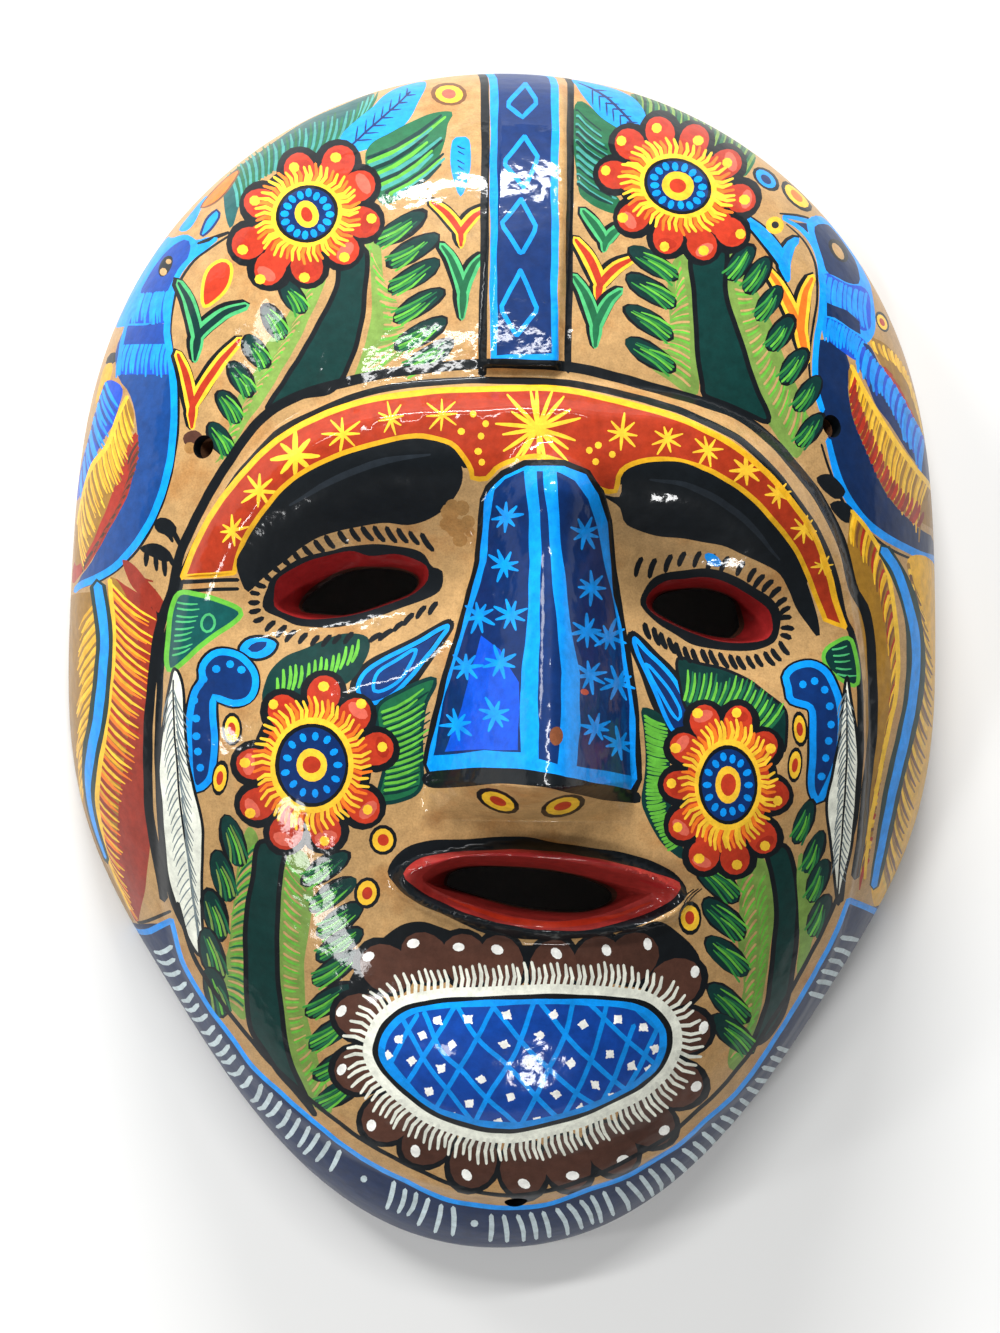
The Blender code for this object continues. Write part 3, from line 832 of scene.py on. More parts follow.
@dataclass
class PaintedShell:
    """The pressed clay shell with its paint, as one closed skin."""

    form: MaskForm = field(default_factory=MaskForm)
    view: Viewpoint = field(default_factory=Viewpoint)
    canvas: Canvas = field(default_factory=Canvas)
    grain: float = 0.00175
    fine_grain: float = 0.00085
    nose_grain: float = 0.00070
    inside_grain: float = 0.0040
    nose_spread: float = 0.0240
    nose_reach: float = 0.0400
    nose_margin: float = 0.0010
    bend_step: float = 0.0011
    bend_least: float = 0.00011
    clearance: float = 0.62
    nose_clearance: float = 0.55
    inside_clearance: float = 0.45
    rim_points: int = 420
    hole_points: int = 28
    hole_flare: float = 1.10
    hole_widest: float = 0.012
    mouth_below: float = -0.02
    above_nose: float = 0.105
    edge_share: float = 0.972
    overhang: float = 22.0
    face_scale: float = 0.372
    inside_scale: float = 1.35
    inside_place: Place = (0.87, 0.18)
    strip_side: Place = (0.76, 0.22)
    strip_start: float = 0.40
    strip_height: float = 0.012
    strip_pitch: float = 0.016
    left_eye: str = (
        "274,596 276,582 284,574 306,562 326,556 351,551 370,556 395,554 414,559 427,567 427,581 413,594 "
        "389,604 357,614 332,618 306,619 287,614 275,607")
    left_pupil: str = (
        "302,607 304,602 312,593 326,583 342,574 363,569 389,569 408,573 418,581 411,593 389,602 363,611 "
        "344,615 325,614 306,612")
    right_eye: str = (
        "646,603 651,591 666,581 684,579 703,577 723,581 746,593 767,608 772,620 772,632 764,640 741,643 "
        "718,641 695,634 672,624 654,614")
    right_pupil: str = (
        "652,606 659,596 675,591 698,589 719,593 733,601 737,614 739,627 730,637 719,637 704,634 683,627 "
        "667,619 655,612")
    mouth: str = (
        "422,877 434,866 455,858 485,856 530,857 575,862 615,872 648,884 656,890 643,898 612,911 580,919 "
        "550,921 512,916 472,905 442,893 426,884")
    gullet: str = (
        "447,881 453,872 480,867 533,869 575,876 604,887 612,896 606,904 584,911 554,911 512,905 472,894 "
        "450,887")

    def skin_normals(self, plan: Points, height: Callable[[Points], Points], step: float = 1.5e-4) -> Points:
        """Upward unit normals of a skin over plan points."""
        moves = np.array([[step, 0.0], [-step, 0.0], [0.0, step], [0.0, -step]])
        levels = [height(plan + move) for move in moves]
        slopes = np.column_stack([levels[1] - levels[0], levels[3] - levels[2], np.full(len(plan), 2.0 * step)])
        return slopes / np.linalg.norm(slopes, axis=1)[:, None]

    def solid_face(self, plan: Points) -> Points:
        """Height of the face, and below the ground beyond its rim."""
        return np.where(self.form.face_bowl.share(plan) < 1.0, self.form.face(plan), -1.0)

    def unrolled(self, places: Points) -> Points:
        """Where grid places land on the unrolled face, with the sides drawn out past the outline.

        Args:
            places: places on the drawing grid.

        Returns:
            Places on the unrolled face.
        """
        bowl = self.form.face_bowl
        plan, met = self.view.landed(places, self.solid_face, self.above_nose)
        share = bowl.share(plan)
        angle = np.linspace(-np.pi, np.pi, 721)
        radius = cosine_outline(bowl.rim_radii, angle)
        ring = np.column_stack([radius * np.sin(angle), radius * np.cos(angle)]) * bowl.frame
        middle = self.view.drawn(np.array([[0.0, 0.0, 0.02]]))[0]
        polar = []
        for part in (self.edge_share, 0.985, 0.995, 1.0):
            level = self.form.face(ring * part) if part < 1.0 else np.zeros(len(ring))
            offset = self.view.drawn(np.column_stack([ring * part, level])) - middle
            bearing = np.arctan2(offset[:, 0], -offset[:, 1])
            order = np.argsort(bearing)
            turn = np.unwrap(angle[order])
            polar.append([np.concatenate([part[-9:] - wrap, part, part[:9] + wrap]) for part, wrap in (
                (bearing[order], 2.0 * np.pi), (np.hypot(*offset.T)[order], 0.0), (turn, 2.0 * np.pi))])
        offset = places - middle
        bearing, reach = np.arctan2(offset[:, 0], -offset[:, 1]), np.hypot(*offset.T)
        starts = np.interp(bearing, polar[0][0], polar[0][1])
        ends = np.max([np.interp(bearing, part[0], part[1]) for part in polar], axis=0) + self.overhang
        along = np.clip((reach - starts) / (ends - starts), 0.0, 0.993)
        turn = np.interp(bearing, polar[0][0], polar[0][2])
        out = cosine_outline(bowl.rim_radii, turn)[:, None]
        out = np.column_stack([np.sin(turn), np.cos(turn)]) * out * bowl.frame
        near_edge, rim = bowl.unrolled(out * self.edge_share), bowl.unrolled(out)
        sides = near_edge + (rim - near_edge) * along[:, None]
        beyond = (reach >= starts) | ~met | (share >= self.edge_share)
        return np.where(beyond[:, None], sides, bowl.unrolled(np.where(beyond[:, None], 0.0, plan)))

    def seen_loop(self, outline: str, height: Callable[[Points], Points], spacing: float) -> Points:
        """Plan points of an outline that is seen on a skin."""
        return self.view.landed(curve(outline, spacing, closed=True), height, self.above_nose)[0]

    def lattice(self, spacing: float, low: Points, high: Points) -> Points:
        """Even triangular grid of points over a box."""
        rows = np.arange(low[1], high[1], spacing * 0.8660254)
        columns = np.arange(low[0], high[0], spacing)
        grid = np.stack(np.meshgrid(columns, rows), axis=-1)
        grid[1::2, :, 0] += spacing / 2.0
        return grid.reshape(-1, 2)

    def inner_points(self, rim: Points, taken: Points) -> Points:
        """Points of the face between the painted outlines: closer where the carving bends.

        Args:
            rim: the unrolled rim.
            taken: unrolled points that are already set.

        Returns:
            The unrolled points.
        """
        bowl = self.form.face_bowl
        low, high = rim.min(axis=0), rim.max(axis=0)
        wide = self.lattice(self.grain, low, high)
        fine = self.lattice(self.fine_grain, low, high)
        fine = fine[winding(fine, rim[::6]) != 0]
        plan = bowl.rolled(fine)
        step = self.bend_step
        moves = np.array([[step, 0.0], [-step, 0.0], [0.0, step], [0.0, -step]])
        middle = self.form.face(plan) - bowl.height(plan)
        bend = sum(self.form.face(plan + move) - bowl.height(plan + move) for move in moves) / 4.0 - middle
        fine = fine[(np.abs(bend) > self.bend_least) & (bowl.share(plan) < 0.97)]
        tip = self.form.nose_tip * self.form.frame[1]
        foot = tip - self.form.nose_underside
        side, split = self.nose_spread, tip + self.nose_margin
        nose = self.lattice(self.nose_grain, np.array([-side, split]), np.array([side, self.nose_reach]))
        under = self.lattice(self.nose_grain * 0.7, np.array([-side, foot - self.nose_margin]), np.array([side, split]))
        nose = bowl.unrolled(np.vstack([nose, under]))
        steep = np.abs(self.form.nose(bowl.rolled(nose))) > 1e-5
        found = nose[steep][~crowded(nose[steep], taken, self.nose_grain * self.nose_clearance)]
        for more, reach in ((fine, self.fine_grain * self.clearance), (wide, self.grain * self.clearance)):
            more = more[winding(more, rim[::2]) != 0]
            more = more[bowl.share(bowl.rolled(more)) < 0.9995]
            others = np.vstack([taken, found])
            found = np.vstack([found, more[~crowded(more, others, reach)]])
        return found

    def joined_skin(self, points: Points, loops: Sequence[Points]) -> tuple[Points, Points]:
        """Triangles between loops and points.

        Args:
            points: places in the plane.
            loops: closed outlines, which triangles don't cross.

        Returns:
            The places, and three of them for each triangle.
        """
        corners, edges, start = [], [], 0
        for loop in loops:
            count = len(loop)
            at = np.arange(count)
            edges.append(np.column_stack([start + at, start + (at + 1) % count]))
            corners.append(loop)
            start += count
        corners.append(points)
        places = np.vstack(corners)
        vectors = [Vector(place) for place in places.tolist()]
        pairs = [tuple(edge) for edge in np.vstack(edges).tolist()]
        found = delaunay_2d_cdt(vectors, pairs, [], 0, 1e-7)
        return np.array([tuple(v) for v in found[0]]), np.array(found[2])

    def edge_loops(self, faces: Points) -> list[list[int]]:
        """The open edges of a skin, as closed runs of vertices."""
        ends = np.concatenate([faces[:, [0, 1]], faces[:, [1, 2]], faces[:, [2, 0]]])
        _, index, count = np.unique(np.sort(ends, axis=1), axis=0, return_inverse=True, return_counts=True)
        single = ends[count[index.reshape(-1)] == 1]
        after = dict(single.tolist())
        loops = []
        while after:
            first, _ = next(iter(after.items()))
            loop, here = [], first
            while here in after:
                loop.append(here)
                here = after.pop(here)
            loops.append(loop)
        return loops

    def wall_rows(self, front: Points, back: Points, rows: int, belly: float) -> list[Points]:
        """Rings of points between a front loop and a back loop, bellied a little towards the opening's middle.

        Args:
            front: points of the front loop.
            back: as many points of the back loop.
            rows: number of bands.
            belly: how far the wall rounds, as a share of its run.

        Returns:
            The rings between the two loops.
        """
        found = []
        for row in range(1, rows):
            share = row / rows
            flat = back[:, :2] - front[:, :2]
            ring = front + (back - front) * share
            ring[:, :2] += flat * belly * math.sin(math.pi * share)
            found.append(ring)
        return found

    def band_faces(self, first: Points, second: Points) -> Points:
        """Triangles of the band between two rings of as many vertices."""
        after, beyond = np.roll(first, -1), np.roll(second, -1)
        return np.vstack([np.column_stack([first, second, after]), np.column_stack([after, second, beyond])])

    def matched(self, loop: Points, start: Points, other: Points) -> Points:
        """Points of another loop that stand at the same share of the way round, for each point of a loop.

        Args:
            loop: plan points of the loop.
            start: plan middle of the loop.
            other: plan points of the other loop.

        Returns:
            Plan points on the other loop, one for each.
        """
        def bearings(ring: Points, middle: Points) -> Points:
            """Direction of each point of a ring from its middle, as if the ring were as wide as tall."""
            span = ring.max(axis=0) - ring.min(axis=0)
            offset = (ring - middle) / span
            return np.arctan2(offset[:, 1], offset[:, 0])

        middle = (other.max(axis=0) + other.min(axis=0)) / 2.0
        at = bearings(other, middle)
        order = np.argsort(at)
        at, ring = at[order], other[order]
        at = np.concatenate([at[-1:] - 2 * np.pi, at, at[:1] + 2 * np.pi])
        ring = np.vstack([ring[-1:], ring, ring[:1]])
        want = bearings(loop, start)
        return np.column_stack([np.interp(want, at, ring[:, 0]), np.interp(want, at, ring[:, 1])])

    def build(self) -> bpy.types.Object:
        """Builds the shell as one closed mesh with its paint as face colours.

        Returns:
            The piece.
        """
        form, bowl = self.form, self.form.face_bowl
        patches = self.canvas.patches
        counts = [len(patch.outline) for patch in patches]
        flat = self.unrolled(np.vstack([patch.outline for patch in patches])) if patches else np.zeros((0, 2))
        outlines = np.split(flat, np.cumsum(counts)[:-1]) if patches else []
        rim = bowl.unrolled(bowl.ring(self.rim_points))
        openings = [
            (self.seen_loop(self.left_eye, form.face, 5.0), self.seen_loop(self.left_pupil, form.inside, 4.0)),
            (self.seen_loop(self.right_eye, form.face, 5.0), self.seen_loop(self.right_pupil, form.inside, 4.0)),
            (self.seen_loop(self.mouth, form.face, 5.0), self.seen_loop(self.gullet, form.inside, 4.0)),
        ]
        openings += [form.string_hole_rings(centre, self.hole_points, self.hole_flare) for centre in form.string_holes]
        fronts = [bowl.unrolled(front) for front, _ in openings]
        taken = np.vstack([rim, flat, *fronts])
        inner = self.inner_points(rim, taken)
        places, faces = self.joined_skin(inner, [rim, *fronts, *outlines])
        middles = places[faces].mean(axis=1)
        near = Near(middles)
        keep = np.zeros(len(faces), bool)
        keep[near.inside(rim)] = True
        for front in fronts:
            keep[near.inside(front)] = False
        colours = np.tile(np.asarray(Hue.TAN.light), (len(faces), 3, 1))
        bodies = np.zeros((len(faces), 3))
        plan = bowl.rolled(places)
        share = bowl.share(plan)
        level = np.where(share > 0.99999, 0.0, form.face(plan))
        points = np.column_stack([plan, level])
        for patch, outline in zip(patches, outlines):
            found = near.inside(outline)
            colours[found] = patch.colour
            bodies[found] = 0.0 if patch.bare else 1.0
        faces, colours, bodies = faces[keep], colours[keep], bodies[keep]
        used = np.unique(faces)
        renumber = np.full(len(points), -1)
        renumber[used] = np.arange(len(used))
        faces, points, places, plan = renumber[faces], points[used], places[used], plan[used]
        LOG.info("face skin: %d triangles, %d touches of the brush", len(faces), len(patches))
        corners = Corners()
        normals = self.skin_normals(plan, form.face)
        corners.add(faces, colours, bodies, normals[faces], self.front_layout(places)[faces], 0)
        return self.close_shell(points, plan, faces, corners, openings)

    def front_layout(self, flat: Points) -> Points:
        """Place of the unrolled face on the flat layout: the left part of a square."""
        return flat / self.face_scale + np.array([self.face_scale, 0.5])

    def close_shell(self, points: Points, plan: Points, faces: Points, corners: Corners,
                    openings: list[tuple[Points, Points]]) -> bpy.types.Object:
        """Adds the walls, the rim and the inside to the face.

        Args:
            points: the face's vertices.
            plan: their plan points.
            faces: the face's triangles.
            corners: the face's corners.
            openings: front and back plan loops of each opening.

        Returns:
            The piece.
        """
        form, back_bowl = self.form, self.form.back_bowl
        loops = [np.array(loop) for loop in self.edge_loops(faces)]
        spans = [np.ptp(plan[loop], axis=0).sum() for loop in loops]
        rim_loop = loops[int(np.argmax(spans))]
        others = [loop for loop in loops if loop is not rim_loop]
        angle = np.arctan2(*(plan[rim_loop] / form.frame).T)
        radius = cosine_outline(form.rim_radii, angle)
        inner_rim = np.column_stack([radius * np.sin(angle), radius * np.cos(angle)]) * back_bowl.frame
        backs = []
        for loop in others:
            middle = (plan[loop].max(axis=0) + plan[loop].min(axis=0)) / 2.0
            pair = min(openings, key=lambda pair: float(np.hypot(*(pair[0].mean(axis=0) - middle))))
            backs.append(self.matched(plan[loop], middle, pair[1]))
        rings = [back_bowl.unrolled(ring) for ring in (inner_rim, *backs)]
        low, high = rings[0].min(axis=0), rings[0].max(axis=0)
        grid = self.lattice(self.inside_grain, low, high)
        grid = grid[(winding(grid, rings[0]) != 0) & (back_bowl.share(back_bowl.rolled(grid)) < 0.998)]
        grid = grid[~crowded(grid, np.vstack(rings), self.inside_grain * self.inside_clearance)]
        places, inside = self.joined_skin(grid, rings)
        near = Near(places[inside].mean(axis=1))
        keep = np.zeros(len(inside), bool)
        keep[near.inside(rings[0])] = True
        for ring in rings[1:]:
            keep[near.inside(ring)] = False
        inside = inside[keep][:, ::-1]
        inner_plan = back_bowl.rolled(places)
        count = len(rings[0])
        inner_plan[:count] = inner_rim
        level = form.inside(inner_plan)
        level[:count] = 0.0
        base = len(points)
        vertices = [points, np.column_stack([inner_plan, level])]
        normals = -self.skin_normals(inner_plan, form.inside)
        clay = np.tile(np.asarray(Hue.CLAY.light), (len(inside), 3, 1))
        layout = places / self.inside_scale + np.array(self.inside_place)
        corners.add(inside + base, clay, np.full((len(inside), 3), -1.0), normals[inside], layout[inside], 1)
        total = base + len(inner_plan)
        start = base
        strip = self.strip_start
        for number, loop in enumerate([rim_loop, *others]):
            count = len(loop)
            back = start + np.arange(count)
            start += count
            narrow = np.ptp(plan[loop], axis=0).max() < self.hole_widest
            kind = "rim" if number == 0 else ("hole" if narrow else "opening")
            rows = {"rim": 2, "hole": 3, "opening": 5}[kind]
            front_points = points[loop]
            back_points = vertices[1][back - base]
            chain = [loop]
            for ring in self.wall_rows(front_points, back_points, rows, 0.10 if kind == "opening" else 0.0):
                chain.append(total + np.arange(count))
                vertices.append(ring)
                total += count
            chain.append(back)
            # The last band of each eye and mouth wall is brown: painted shade at the back edge of the opening.
            hues = {"rim": [Hue.CLAY] * 2, "hole": [Hue.BLACK, Hue.CLAY, Hue.CLAY],
                    "opening": [Hue.EYE_RED] * 4 + [Hue.BROWN]}[kind]
            if kind == "opening" and plan[loop][:, 1].mean() < self.mouth_below:
                hues = [Hue.LIP_RED] * 4 + [Hue.BROWN]
            for row in range(rows):
                band = self.band_faces(chain[row], chain[row + 1])
                colours = np.tile(np.asarray(hues[row].light), (len(band), 3, 1))
                around = np.linspace(0.0, 1.0, count, endpoint=False)
                high_side = np.column_stack([self.strip_side[0] + self.strip_side[1] * around, np.full(count, strip)])
                low_side = high_side + np.array([0.0, self.strip_height])
                where = np.full((total, 2), 0.0)
                where[chain[row]], where[chain[row + 1]] = high_side, low_side
                body = np.full((len(band), 3), -1.0 if hues[row] is Hue.CLAY else 1.0)
                corners.add(band, colours, body, np.zeros((len(band), 3, 3)), where[band], 1 if body[0, 0] < 0 else 0)
                strip += self.strip_pitch
        return self.meshed("mask_painted", np.vstack(vertices), corners)

    def wall_normals(self, points: Points, faces: Points, given: Points) -> Points:
        """Normals of the corners: the given ones, and for the others the mean of the walls that meet there.

        Args:
            points: vertices.
            faces: triangles.
            given: a normal for each corner, zero where there is none.

        Returns:
            A unit normal for each corner.
        """
        sides = points[faces]
        flat = np.cross(sides[:, 1] - sides[:, 0], sides[:, 2] - sides[:, 0])
        bare = np.abs(given).sum(axis=2) < 1e-9
        mean = np.zeros((len(points), 3))
        for corner in range(3):
            np.add.at(mean, faces[bare[:, 0], corner], flat[bare[:, 0]])
        normals = np.where(bare[..., None], mean[faces], given)
        lengths = np.linalg.norm(normals, axis=2)[..., None]
        unit = flat / np.maximum(np.linalg.norm(flat, axis=1), 1e-12)[:, None]
        normals = normals / np.maximum(lengths, 1e-12)
        against = (normals * unit[:, None]).sum(axis=2) < 0.05
        return np.where(against[..., None], unit[:, None], normals)

    def meshed(self, name: str, points: Points, corners: Corners) -> bpy.types.Object:
        """Makes the mesh and its attributes.

        Args:
            name: the piece's name.
            points: vertices.
            corners: all of its corners.

        Returns:
            The piece.
        """
        faces = np.vstack(corners.faces)
        mesh = bpy.data.meshes.new(name)
        mesh.from_pydata(points.tolist(), [], faces.tolist())
        mesh.polygons.foreach_set("material_index", np.concatenate(corners.materials).astype(np.int32))
        mesh.polygons.foreach_set("use_smooth", np.ones(len(faces), bool))
        colour = mesh.attributes.new("paint", "FLOAT_COLOR", "CORNER")
        linear = np.concatenate(corners.colours).reshape(-1, 3)
        colour.data.foreach_set("color", np.column_stack([linear, np.ones(len(linear))]).astype(np.float32).ravel())
        body = mesh.attributes.new("body", "FLOAT", "CORNER")
        body.data.foreach_set("value", np.concatenate(corners.bodies).reshape(-1).astype(np.float32))
        layout = mesh.uv_layers.new(name="OFBake")
        layout.data.foreach_set("uv", np.concatenate(corners.layout).reshape(-1, 2).astype(np.float32).ravel())
        normals = self.wall_normals(points, faces, np.concatenate(corners.normals))
        mesh.normals_split_custom_set(normals.reshape(-1, 3).tolist())
        mesh.update()
        piece = bpy.data.objects.new(name, mesh)
        bpy.context.scene.collection.objects.link(piece)
        LOG.info("%s: %d triangles", name, len(faces))
        return piece


@dataclass(frozen=True)
class PaintFinish:
    """Colours on tan-washed clay under varnish."""

    roughness: float = 0.45
    varnish: float = 0.31
    varnish_roughness: float = 0.07
    speckle: float = 0.16
    stain: tuple[float, float, float] = (0.62, 0.40, 0.20)
    dimple: float = 0.00022
    grains: float = 0.07

    def material(self) -> bpy.types.Material:
        """The node material."""
        made = bpy.data.materials.new("varnished_paint")
        made.use_nodes = True
        tree = made.node_tree
        shader = tree.nodes["Principled BSDF"]
        nodes = Nodes(tree)
        place = nodes.add("ShaderNodeTexCoord").outputs["Object"]
        paint = nodes.add("ShaderNodeAttribute", attribute_name="paint").outputs["Color"]
        body = nodes.add("ShaderNodeAttribute", attribute_name="body").outputs["Fac"]
        bare = nodes.math("LESS_THAN", body, 0.5)
        fine = nodes.noise(place, 2400.0, 3.0, 0.7)
        medium = nodes.noise(place, 420.0, 4.0, 0.62)
        broad = nodes.noise(place, 70.0, 4.0, 0.6)
        grit = nodes.spread(fine, 0.35, 0.68, 1.0 - self.speckle, 1.0 + self.speckle)
        cloud = nodes.spread(medium, 0.32, 0.70, 0.86, 1.12)
        wash = nodes.spread(broad, 0.35, 0.68, 0.88, 1.10)
        ground = nodes.tinted(paint, nodes.math("MULTIPLY", nodes.math("MULTIPLY", grit, cloud), wash))
        stains = nodes.spread(broad, 0.50, 0.66, 0.0, 0.55)
        ground = nodes.mixed("MULTIPLY", stains, ground, (*self.stain, 1.0))
        pores = nodes.spread(fine, 0.64, 0.72, 0.0, 0.55)
        ground = nodes.mixed("MULTIPLY", pores, ground, (0.45, 0.30, 0.18, 1.0))
        streaks = nodes.spread(medium, 0.30, 0.72, 0.80, 1.18)
        tone = nodes.math("MULTIPLY", streaks, nodes.spread(fine, 0.3, 0.7, 0.93, 1.07))
        painted = nodes.tinted(paint, tone)
        colour = nodes.mixed("MIX", bare, painted, ground)
        tree.links.new(colour, shader.inputs["Base Color"])
        shader.inputs["Roughness"].default_value = self.roughness
        shader.inputs["Specular IOR Level"].default_value = 0.08
        shader.inputs["Coat Weight"].default_value = self.varnish
        shader.inputs["Coat Roughness"].default_value = self.varnish_roughness
        wavy = nodes.math("MULTIPLY", nodes.noise(place, 240.0, 1.5, 0.5), 0.9)
        runs = nodes.math("MULTIPLY", nodes.noise(place, 75.0, 1.0, 0.5), 2.4)
        grains = nodes.math("MULTIPLY", nodes.noise(place, 1100.0, 1.0, 0.5), self.grains)
        lumps = nodes.math("ADD", nodes.math("ADD", wavy, runs), grains)
        bump = nodes.add("ShaderNodeBump")
        bump.inputs["Strength"].default_value = 1.0
        bump.inputs["Distance"].default_value = self.dimple
        tree.links.new(lumps, bump.inputs["Height"])
        tree.links.new(bump.outputs["Normal"], shader.inputs["Normal"])
        tree.links.new(bump.outputs["Normal"], shader.inputs["Coat Normal"])
        return made


@dataclass(frozen=True)
class ClayFinish:
    """Bare fired clay with finger marks."""

    colour: Hue = Hue.CLAY
    roughness: float = 0.82
    dimple: float = 0.00035

    def material(self) -> bpy.types.Material:
        """The node material."""
        made = bpy.data.materials.new("bare_clay")
        made.use_nodes = True
        tree = made.node_tree
        shader = tree.nodes["Principled BSDF"]
        nodes = Nodes(tree)
        place = nodes.add("ShaderNodeTexCoord").outputs["Object"]
        paint = nodes.add("ShaderNodeAttribute", attribute_name="paint").outputs["Color"]
        fine = nodes.noise(place, 1800.0, 4.0, 0.7)
        medium = nodes.noise(place, 160.0, 5.0, 0.6)
        fine_tone, medium_tone = nodes.spread(fine, 0.3, 0.7, 0.80, 1.18), nodes.spread(medium, 0.3, 0.7, 0.75, 1.2)
        tone = nodes.math("MULTIPLY", fine_tone, medium_tone)
        tree.links.new(nodes.tinted(paint, tone), shader.inputs["Base Color"])
        tree.links.new(nodes.spread(medium, 0.3, 0.7, self.roughness - 0.12, 0.95), shader.inputs["Roughness"])
        lumps = nodes.math("ADD", nodes.math("MULTIPLY", fine, 0.3), nodes.math("MULTIPLY", medium, 1.6))
        bump = nodes.add("ShaderNodeBump")
        bump.inputs["Distance"].default_value = self.dimple
        tree.links.new(lumps, bump.inputs["Height"])
        tree.links.new(bump.outputs["Normal"], shader.inputs["Normal"])
        return made


@dataclass
class Nodes:
    """Short ways to add shader nodes to a tree."""

    tree: bpy.types.NodeTree

    def add(self, kind: str, **values: object) -> bpy.types.Node:
        """Adds a node and sets its properties."""
        node = self.tree.nodes.new(kind)
        for name, value in values.items():
            setattr(node, name, value)
        return node

    def put(self, socket: bpy.types.NodeSocket, value: object) -> None:
        """Links a socket to another, or sets its value."""
        if isinstance(value, bpy.types.NodeSocket):
            self.tree.links.new(value, socket)
        else:
            socket.default_value = value

    def math(self, operation: str, first: object, second: object) -> bpy.types.NodeSocket:
        """A sum, product or test of two values."""
        node = self.add("ShaderNodeMath", operation=operation)
        self.put(node.inputs[0], first)
        self.put(node.inputs[1], second)
        return node.outputs[0]

    def noise(self, place: bpy.types.NodeSocket, scale: float, detail: float, roughness: float) -> bpy.types.NodeSocket:
        """Noise over the object's own space, in features of one over the scale in metres."""
        node = self.add("ShaderNodeTexNoise")
        self.put(node.inputs["Vector"], place)
        node.inputs["Scale"].default_value = scale
        node.inputs["Detail"].default_value = detail
        node.inputs["Roughness"].default_value = roughness
        return node.outputs["Fac"]

    def spread(self, value: object, low: float, high: float, out_low: float, out_high: float) -> bpy.types.NodeSocket:
        """Maps one range to another and stops at its ends."""
        node = self.add("ShaderNodeMapRange")
        self.put(node.inputs["Value"], value)
        for name, number in (("From Min", low), ("From Max", high), ("To Min", out_low), ("To Max", out_high)):
            node.inputs[name].default_value = number
        return node.outputs["Result"]

    def mixed(self, blend: str, share: object, first: object, second: object) -> bpy.types.NodeSocket:
        """Two colours mixed in a given way."""
        node = self.add("ShaderNodeMix", data_type="RGBA", blend_type=blend)
        self.put(node.inputs[0], share)
        self.put(node.inputs[6], first)
        self.put(node.inputs[7], second)
        return node.outputs[2]

    def tinted(self, colour: object, tone: object) -> bpy.types.NodeSocket:
        """A colour made lighter or darker by a factor."""
        node = self.add("ShaderNodeVectorMath", operation="SCALE")
        self.put(node.inputs[0], colour)
        self.put(node.inputs["Scale"], tone)
        return node.outputs[0]


@dataclass
class Studio:
    """A pale floor and soft lights."""

    floor_size: float = 3.0
    surround: float = 0.20

    def floor(self) -> bpy.types.Object:
        """Makes the floor under the mask."""
        bpy.ops.object.select_all(action="DESELECT")
        bpy.ops.mesh.primitive_plane_add(size=self.floor_size, location=(0.0, 0.0, 0.0))
        floor = bpy.context.object
        floor.name = "floor"
        made = bpy.data.materials.new("pale_floor")
        made.use_nodes = True
        shader = made.node_tree.nodes["Principled BSDF"]
        shader.inputs["Base Color"].default_value = (0.74, 0.74, 0.73, 1.0)
        shader.inputs["Roughness"].default_value = 0.8
        floor.data.materials.append(made)
        return floor

    def lamp(self, name: str, place: tuple[float, float, float], size: Place, power: float) -> None:
        """Makes a soft lamp that faces the mask."""
        data = bpy.data.lights.new(name, "AREA")
        data.shape = "RECTANGLE"
        data.size, data.size_y = size
        data.energy = power
        lamp = bpy.data.objects.new(name, data)
        lamp.location = place
        lamp.rotation_euler = (Vector((0.0, 0.0, 0.04)) - Vector(place)).to_track_quat("-Z", "Y").to_euler()
        bpy.context.scene.collection.objects.link(lamp)

    def light(self) -> None:
        """Lights the mask from above, with a soft surround."""
        self.lamp("low_behind", (-0.10, 1.29, 0.53), (0.56, 0.13), 26.0)
        self.lamp("over_forehead", (-0.16, 0.78, 1.25), (0.80, 0.06), 11.0)
        self.lamp("behind_left", (-0.90, 0.84, 0.66), (0.22, 0.26), 5.5)
        self.lamp("left_foot", (-0.78, -0.74, 0.88), (0.20, 0.20), 5.0)
        self.lamp("foot", (0.15, -1.00, 0.95), (0.12, 0.12), 3.6)
        self.lamp("left", (-1.20, -0.15, 0.75), (0.12, 0.14), 3.0)
        world = bpy.data.worlds.new("surround")
        world.use_nodes = True
        background = world.node_tree.nodes["Background"]
        background.inputs["Color"].default_value = (1.0, 1.0, 1.0, 1.0)
        background.inputs["Strength"].default_value = self.surround
        bpy.context.scene.world = world
        bpy.context.scene.view_settings.view_transform = "Standard"


@dataclass(frozen=True)
class Bead:
    """An oval berry: a dark edge, a ring and a heart."""

    centre: Place
    half: Place
    tilt: float = 0.0
    ring: Hue = Hue.YELLOW
    heart: Hue = Hue.FLOWER_RED
    edge: Hue = Hue.BLACK

    def paint(self, canvas: Canvas) -> None:
        """Lays on the paint."""
        for share, hue in ((1.0, self.edge), (0.76, self.ring), (0.40, self.heart)):
            half = (self.half[0] * share, self.half[1] * share)
            canvas.lay(oval(self.centre, half, self.tilt, 14), hue, 0.4)


@dataclass(frozen=True)
class Star:
    """A burst of short strokes from one place."""

    centre: Place
    reach: float
    hue: Hue = Hue.YELLOW
    rays: int = 8
    width: float = 3.4

    def paint(self, canvas: Canvas) -> None:
        """Lays on the paint."""
        start = canvas.hand.uniform(0.0, 0.8)
        for number in range(self.rays):
            angle = start + 2.0 * math.pi * number / self.rays + canvas.hand.uniform(-0.13, 0.13)
            reach = self.reach * canvas.hand.uniform(0.72, 1.12)
            tip = (self.centre[0] + reach * math.cos(angle), self.centre[1] + reach * math.sin(angle))
            canvas.stroke([self.centre, tip], self.width, self.hue, (1.0, 0.35), 7.0)
        canvas.dot(self.centre, self.width * 0.95, self.hue)


